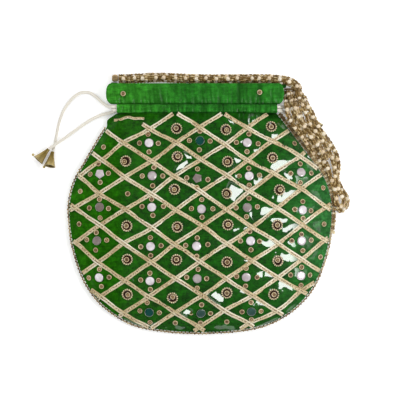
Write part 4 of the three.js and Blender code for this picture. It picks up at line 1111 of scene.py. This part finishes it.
# Frames on the front for the sewn trims: the normal comes from the slopes of the cover's height,
# taken 3 mm apart, and the side axis is turned by the spin.
def frontFrames(x, y, spin):
    reach = 1.5
    slopeX = (coverHeight(x + reach, y) - coverHeight(x - reach, y)) / (2 * reach)
    slopeY = (coverHeight(x, y + reach) - coverHeight(x, y - reach)) / (2 * reach)
    normal = unit(np.stack([-slopeX, -slopeY, np.ones_like(x)], -1))
    start = np.stack([np.cos(spin), np.sin(spin), 0 * spin], -1)
    side = unit(np.cross(normal, np.cross(start, normal)))
    return np.stack([side, np.cross(normal, side), normal], 1)


cellSet = {
    "rosettes": [(-21.1, 71.4), (22.3, 70.5), (62.4, 73.2), (-65.7, 42.8), (-20.4, 46.6), (23.9, 42.3),
                 (63.3, 45.6), (-22.8, 17.8), (23.5, 14.4), (69.4, 17.4), (-64.7, -14.3), (-20.2, -15.1),
                 (24.0, -13.2), (67.4, -13.6), (-64.4, -43.7), (-21.1, -44.0), (23.2, -46.0), (68.0, -45.1),
                 (-64.4, -74.6), (-24.6, -77.4), (23.2, -73.1), (64.4, -74.6)],
    "mirrors": [(-45.3, 58.7), (-0.4, 60.7), (41.2, 59.0), (-88.8, 31.6), (-42.5, 29.8), (-2.7, 27.6), (42.9, 29.6),
                (88.8, 32.9), (-88.9, 2.3), (-42.7, 2.2), (0.9, 0.6), (41.2, 1.8), (90.0, -0.3), (-91.3, -27.4),
                (-43.8, -32.2), (-3.4, -32.0), (44.1, -27.4), (89.2, -27.4), (-89.5, -59.9), (-44.4, -62.6),
                (-2.8, -60.5), (40.3, -59.3), (88.7, -58.4), (-45.3, -90.7), (0.4, -91.5), (45.0, -90.0)],
    "mirrorReflectionTones": [1.0, 0.0, 0.9, 0.75, 0.6, 0.4, 1.0, 0.75, 0.35, 0.95, 0.85, 0.45, 1.0, 0.4, 1.0, 0.95, 0.95, 0.9,
                    1.0, 1.0, 0.55, 0.7, 0.9, 0.0, 0.05, 0.05],
    "chipped": [3, 5],  # mirrors with broken, straight edges
    "loneSpangles": [(-64.0, 13.9), (-85.6, 55.3), (-106.2, 16.2), (-107.2, -12.7), (83.1, 58.6), (108.4, 19.3),
                     (109.2, -12.7), (106.0, -41.8), (23.2, -99.0), (-22.3, -100.0)],
    "wobble": 0.07,
}
rosetteSet = {
    "beads": 15, "ringRadius": 4.3, "bead": 0.84, "seat": 0.3, "ringRise": 0.45,
    "cup": [(0, 0.25), (1.4, 0.2), (2.6, 0.35), (3.3, 0.85), (3.65, 1.0), (3.95, 0.75), (3.7, 0.1), (0, 0)],
    "cupShades": [0, 0, 0.1, 0.6, 1, 0.8, 0.2, 0],
}
mirrorSet = {
    "seat": 0.15, "disc": [(0, 0.62), (2.2, 0.6), (3.5, 0.52), (3.75, 0.3), (3.6, 0.0), (0, 0)],
    "brokenDisc": [(0, 0.62), (3.2, 0.6), (4.3, 0.5), (4.4, 0.0), (0, 0)], "brokenSides": 5,
    "rim": [(3.7, 0.2), (3.85, 0.45), (4.0, 0.3), (4.0, 0.0), (3.7, 0.0)], "rimShades": [0.3, 1, 0.6, 0, 0],
}
spangleSet = {
    "sideGap": 8.7, "upGap": 7.9, "seat": 0.1, "cupSeat": 1.15, "seed": 0.62, "seedFlat": 0.8, "seedRise": 0.5,
    "washer": [(0.55, 0.25), (0.8, 0.45), (1.02, 0.4), (1.15, 0.25), (1.42, 0.3), (1.6, 0.58), (2.0, 0.62),
               (2.18, 0.45), (2.36, 0.12), (2.2, 0.0), (0.7, 0.0)],
    "washerShades": [0.1, 0.62, 0.5, 0.0, 0.02, 0.78, 1.0, 0.6, 0.05, 0.0, 0.1],
}


# Places on the cover, a distance above it along its normal.
def seated(x, y, frames, above):
    place = np.stack([x, y, coverHeight(x, y)], -1)
    return (place + frames[:, 2] * np.reshape(above, (-1, 1))) * mm


# Beaded rosettes: a dark turned cup, and a ring of beads at even angles above its rim.
def addRosettes(rng, rosettes):
    x, y = rosettes.T
    frames = frontFrames(x, y, rng.uniform(0, 6.28, len(x)))
    centre = seated(x, y, frames, rosetteSet["seat"])
    # Painted shade and highlight: the cup's shades darken its hollow and its foot and lighten its crest.
    cup = latheShape(rosetteSet["cup"], 28, rosetteSet["cupShades"])
    addPiece("rosette_cups", stamp(cup, centre, frames, mm), cupDark, "sack")
    ring = np.column_stack([circle(rosetteSet["beads"]), np.zeros(rosetteSet["beads"])]) * rosetteSet["ringRadius"]
    ring = ring + [0, 0, rosetteSet["ringRise"]]
    beads = (centre[:, None] + np.einsum("ni,kij->knj", ring, frames) * mm).reshape(-1, 3)
    size = rosetteSet["bead"] * mm * rng.uniform(0.9, 1.12, (len(beads), 1)) * np.ones(3)
    beads = stamp(beadShape(3, 7), beads, np.repeat(frames, rosetteSet["beads"], 0), size,
                  rng.uniform(0.5, 0.95, len(beads)))
    addPiece("rosette_beads", beads, edgeGold, "sack")


# Round mirrors, each tilted a little from the cover, in a thin turned rim. Chipped ones have
# five straight edges and no rim. The discs' colours, from dark green to near white, are painted reflections.
def addMirrors(rng, mirrors):
    x, y = mirrors.T
    frames = frontFrames(x, y, rng.uniform(0, 6.28, len(x)))
    tilt = rng.normal(0, cellSet["wobble"], (len(x), 2))
    frames[:, 2] = unit(frames[:, 2] + np.column_stack([tilt, 0 * tilt[:, 0]]))
    frames[:, 0] = unit(np.cross(frames[:, 1], frames[:, 2]))
    frames[:, 1] = np.cross(frames[:, 2], frames[:, 0])
    # Painted reflections: each mirror's tone shifts its colour between dark green and near white.
    tone = np.array(cellSet["mirrorReflectionTones"]) - 0.5
    disc = latheShape(mirrorSet["disc"], 32)
    brokenDisc = latheShape(mirrorSet["brokenDisc"], mirrorSet["brokenSides"])
    # Painted highlight and shade: the rim is lightest on its crest and darkest at its foot.
    rim = latheShape(mirrorSet["rim"], 32, mirrorSet["rimShades"])
    middle = seated(x, y, frames, mirrorSet["seat"])
    broken = np.isin(np.arange(len(x)), cellSet["chipped"])
    discs = [stamp(disc, middle[~broken], frames[~broken], mm, tone[~broken]),
             stamp(brokenDisc, middle[broken], frames[broken], mm, tone[broken])]
    addPiece("mirror_discs", joinShapes(discs), mirrorGlass, "sack")
    addPiece("mirror_rims", stamp(rim, middle[~broken], frames[~broken], mm), mirrorRim, "sack")


# Ring spangles, each with a seed bead: four round each mirror, one in each rosette, the lone
# ones and the two of the header.
def addSpangles(rng, rosettes, mirrors):
    sideGap, upGap = spangleSet["sideGap"], spangleSet["upGap"]
    away = np.array([(sideGap, 0), (-sideGap, 0), (0, upGap), (0, -upGap)])
    aroundMirrors = (mirrors[:, None] + away[None]).reshape(-1, 2) + rng.normal(0, 0.7, (len(mirrors) * 4, 2))
    inRosettes, lone = rosettes + rng.normal(0, 0.35, rosettes.shape), cellSet["loneSpangles"]
    x, y = np.vstack([aroundMirrors, inRosettes, lone]).T
    frames = frontFrames(x, y, rng.uniform(0, 6.28, len(x)))
    seats = [spangleSet["seat"], spangleSet["cupSeat"], spangleSet["seat"]]
    places = seated(x, y, frames, np.repeat(seats, [len(aroundMirrors), len(inRosettes), len(lone)]))
    # Painted light: the washer is lighter on its raised rings, a painted highlight, darker in its groove, a painted
    # shade, and dark round its outer edge, a painted shadow.
    washer = latheShape(spangleSet["washer"], 20, spangleSet["washerShades"])
    rings = stamp(washer, places, frames, mm, rng.uniform(-0.12, 0.1, len(x)))
    addPiece("ring_spangles", rings, spangleTone, "sack")
    seed = beadShape(4, 9, 0.45)
    size = spangleSet["seed"] * mm * np.array([1.0, 1.0, spangleSet["seedFlat"]])
    seeds = stamp(seed, places + frames[:, 2] * spangleSet["seedRise"] * mm, frames, size,
                  rng.uniform(-0.45, 0.3, len(x)))
    addPiece("seed_beads", seeds, spangleTone, "sack")
    for name in ("left_header_spangle", "right_header_spangle"):
        low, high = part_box(name)
        place = np.array([(low[0] + high[0]) / 2, (low[1] + high[1]) / 2, high[2] + 0.2 * mm])
        both = joinShapes([stamp(washer, place, np.eye(3)[None], mm),
                           stamp(seed, place + [0, 0, spangleSet["seedRise"] * mm], np.eye(3)[None], size)])
        addPiece(name + "_ring", both, spangleTone, "front_header", [name])


# The sewn trims, which share one run of random numbers.
def addSewnTrims():
    rng = np.random.default_rng(19)
    rosettes, mirrors = np.array(cellSet["rosettes"]), np.array(cellSet["mirrors"])
    addRosettes(rng, rosettes)
    addMirrors(rng, mirrors)
    addSpangles(rng, rosettes, mirrors)


edgeSet = {
    "pitch": 1.66, "bead": 1.02, "share": 0.855, "rightShare": 0.975, "reach": 0.95, "zigzag": 0.85,
    "rightFrom": 60.0, "lowest": -60.0, "outerFrom": -20.0, "outerReach": 1.9, "outerDrop": 0.6,
    "outerSize": 1.15, "thirdBead": 0.18, "jitter": 0.1, "thread": 0.35,
}


# The bead edging: beads at even steps along the seam line, moved out by the reach and turned
# side to side and up and down in a zigzag. A second row lies outside it at the right, beside
# the handle.
def addEdging():
    rng = np.random.default_rng(23)
    shares = (edgeSet["rightShare"], edgeSet["share"])
    right, left = (outlineLine[:int(share * (len(outlineLine) - 1)) + 1] for share in shares)
    right = np.column_stack([centreLine(right[:, 1]) + right[:, 0], right[:, 1], 0 * right[:, 0]])
    left = np.column_stack([centreLine(left[:, 1]) - left[:, 0], left[:, 1], 0 * left[:, 0]])
    line = evenSteps(np.vstack([left[::-1], right[1:]]), edgeSet["pitch"])
    tangent = unit(np.gradient(line, axis=0))
    out = np.cross(tangent, [0, 0, 1.0])
    turn = np.arange(len(line))
    swing = np.where(turn % 2 == 0, 1.0, -1.0)[:, None]
    jitter = rng.normal(0, edgeSet["jitter"], (len(line), 1))
    line = line + out * (edgeSet["reach"] + 0.45 * edgeSet["zigzag"] * swing + jitter)
    line[:, 2] = bodySet["seamHeight"] + 0.5 * edgeSet["zigzag"] * swing[:, 0]
    onRight = (line[:, 0] > edgeSet["rightFrom"]) & (line[:, 1] > edgeSet["lowest"])
    outer = onRight & (line[:, 1] > edgeSet["outerFrom"])
    size = edgeSet["bead"] * rng.uniform(0.88, 1.1, (len(line), 1))
    size = size * (1 + edgeSet["thirdBead"] * onRight[:, None] * (turn % 3 == 0)[:, None])
    shift = rng.uniform(-0.5, 0.4, len(line)) + 0.2 * onRight
    frames = np.stack([out, np.cross(tangent, out), tangent], 1)
    beads = stamp(beadShape(4, 8), line * mm, frames, size * mm * np.array([1.0, 1.0, 0.85]), shift)
    outerPlace = line[outer] + out[outer] * edgeSet["outerReach"] - [0, 0, edgeSet["outerDrop"]]
    outerBeads = stamp(beadShape(4, 8), outerPlace * mm, frames[outer], edgeSet["outerSize"] * size[outer] * mm,
                       1.2 * shift[outer])
    threadLine = routeCurve(line[::6] * mm, 1.5 * mm)
    thread = sweepShape(threadLine, circle(6) * edgeSet["thread"] * mm)
    addPiece("edge_beads", joinShapes([beads, outerBeads, thread]), edgeGold, "sack", ["edge_beading"])


knotSet = {"steps": 40, "sides": 24, "turns": 26, "power": 0.45, "ripple": 0.05, "tone": 0.4}


# A wound knot: an egg whose radius ripples with the thread turns from end to end, lighter on each turn's
# crest and darker in the groove between, a painted shade.
def addKnots():
    low, high = (np.array(c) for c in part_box("left_handle_knot"))
    t = np.linspace(0, np.pi, knotSet["steps"])
    thread = np.cos(knotSet["turns"] * t)
    radius = np.sin(t) ** knotSet["power"] * (1 + knotSet["ripple"] * thread)
    radius[[0, -1]] = 0
    shape = latheShape(np.stack([radius, -np.cos(t)], -1), knotSet["sides"], 0.5 + knotSet["tone"] * thread)
    rows = np.array([[[0, 1.0, 0], [0, 0, 1.0], [1.0, 0, 0]]])
    size = (high - low)[[1, 2, 0]] / 2
    wrap = stamp(shape, (low + high) / 2, rows, size)
    addPiece("left_knot_wrap", wrap, threadGold, "sack", ["left_handle_knot"])


addSewnTrims()
addEdging()
addKnots()
print("trims done")

# Plain finishes for the CAD pieces that still show, by a word in the name.
for name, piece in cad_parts.items():
    if piece.hide_render:
        continue
    finishes = (("lining", liningCloth), ("tab", satin), ("drawstring", cordSatin))
    finish = next((material for word, material in finishes if word in name), threadGold)
    piece.data.materials.clear()
    piece.data.materials.append(finish)


lightSet = {
    "world": 0.07, "wallRadius": 4.0, "wallHeight": 1.6, "coveRadius": 0.8, "glow": 0.34,
    "nearRadius": 0.4, "farRadius": 1.8, "floorSides": 96, "floorDrop": 0.0004,
    "lamps": [  # place, size and level
        ("leftLamp", (-1.15, 0.35, 0.95), (0.9, 0.9), 0.27),
        ("backLamp", (0.15, 1.25, 1.0), (0.9, 0.9), 0.20),
        ("rightLamp", (1.2, 0.25, 0.85), (0.8, 0.8), 0.12),
        ("nearLamp", (-0.2, -1.25, 0.95), (0.9, 0.9), 0.15),
        ("glossLamp", glossLamp, (0.27, 0.30), 0.34),
    ],
}


# The floor runs up into a low round wall. Its diffuse part holds the shadow, and a glow that
# the camera, reflections and glass see, rising with the distance, lifts it to plain white.
def addFloor():
    material, tree, shader = newTree("floorWhite")
    path = node(tree, "ShaderNodeLightPath").outputs
    seen = calc(tree, "MAXIMUM", path["Is Camera Ray"], path["Is Glossy Ray"])
    seen = calc(tree, "MAXIMUM", seen, path["Is Transmission Ray"])
    place = node(tree, "ShaderNodeTexCoord").outputs["Object"]
    far = node(tree, "ShaderNodeVectorMath", {0: place}, operation="LENGTH").outputs["Value"]
    level = mapRange(tree, far, lightSet["nearRadius"], lightSet["farRadius"], lightSet["glow"], 1.0)
    tree.links.new(calc(tree, "MULTIPLY", seen, level), shader.inputs["Emission Strength"])
    setSockets(shader, **{"Base Color": (0.92, 0.92, 0.92, 1), "Roughness": 1.0, "Specular IOR Level": 0.0,
                          "Emission Color": (1, 1, 1, 1)})
    turn = np.linspace(0, np.pi / 2, 9)
    cove = lightSet["coveRadius"]
    profile = [(lightSet["wallRadius"] - cove + cove * np.sin(a), cove - cove * np.cos(a)) for a in turn]
    profile = [(0.0, 0.0), (1.0, 0.0), *profile, (lightSet["wallRadius"], lightSet["wallHeight"])]
    sides, drop = lightSet["floorSides"], lightSet["floorDrop"]
    points = [(0.0, 0.0, -drop)] + [(r * c, r * s, z - drop) for r, z in profile[1:] for c, s in circle(sides)]
    faces = fanFaces(0, 1, sides).tolist() + (gridFaces(len(profile) - 1, sides, closeColumns=True) + 1).tolist()
    mesh = bpy.data.meshes.new("floor")
    mesh.from_pydata(points, [], faces)
    mesh.materials.append(material)
    floor = bpy.data.objects.new("floor", mesh)
    scene.collection.objects.link(floor)


# An area lamp aimed at the origin. Its power is the level it gives a white surface times pi
# squared and the square of its distance, over the cosine of its slant.
def addLamp(name, place, size, level, glossy):
    place = Vector(place)
    data = bpy.data.lights.new(name, "AREA")
    data.shape = "RECTANGLE"
    data.size, data.size_y = size
    data.energy = level * np.pi**2 * place.length_squared / (place.z / place.length)
    lamp = bpy.data.objects.new(name, data)
    lamp.location = place
    lamp.rotation_euler = (-place).to_track_quat("-Z", "Y").to_euler()
    lamp.visible_glossy = glossy
    scene.collection.objects.link(lamp)


# A dim even world, and the lamps.
def addLights():
    world = bpy.data.worlds.new("studio")
    scene.world = world
    world.use_nodes = True
    background = world.node_tree.nodes["Background"]
    background.inputs["Strength"].default_value = lightSet["world"]
    background.inputs["Color"].default_value = (1, 1, 1, 1)
    for name, place, size, level in lightSet["lamps"]:
        addLamp(name, place, size, level, glossy=name == "glossLamp")


addFloor()
addLights()
print("stage done")
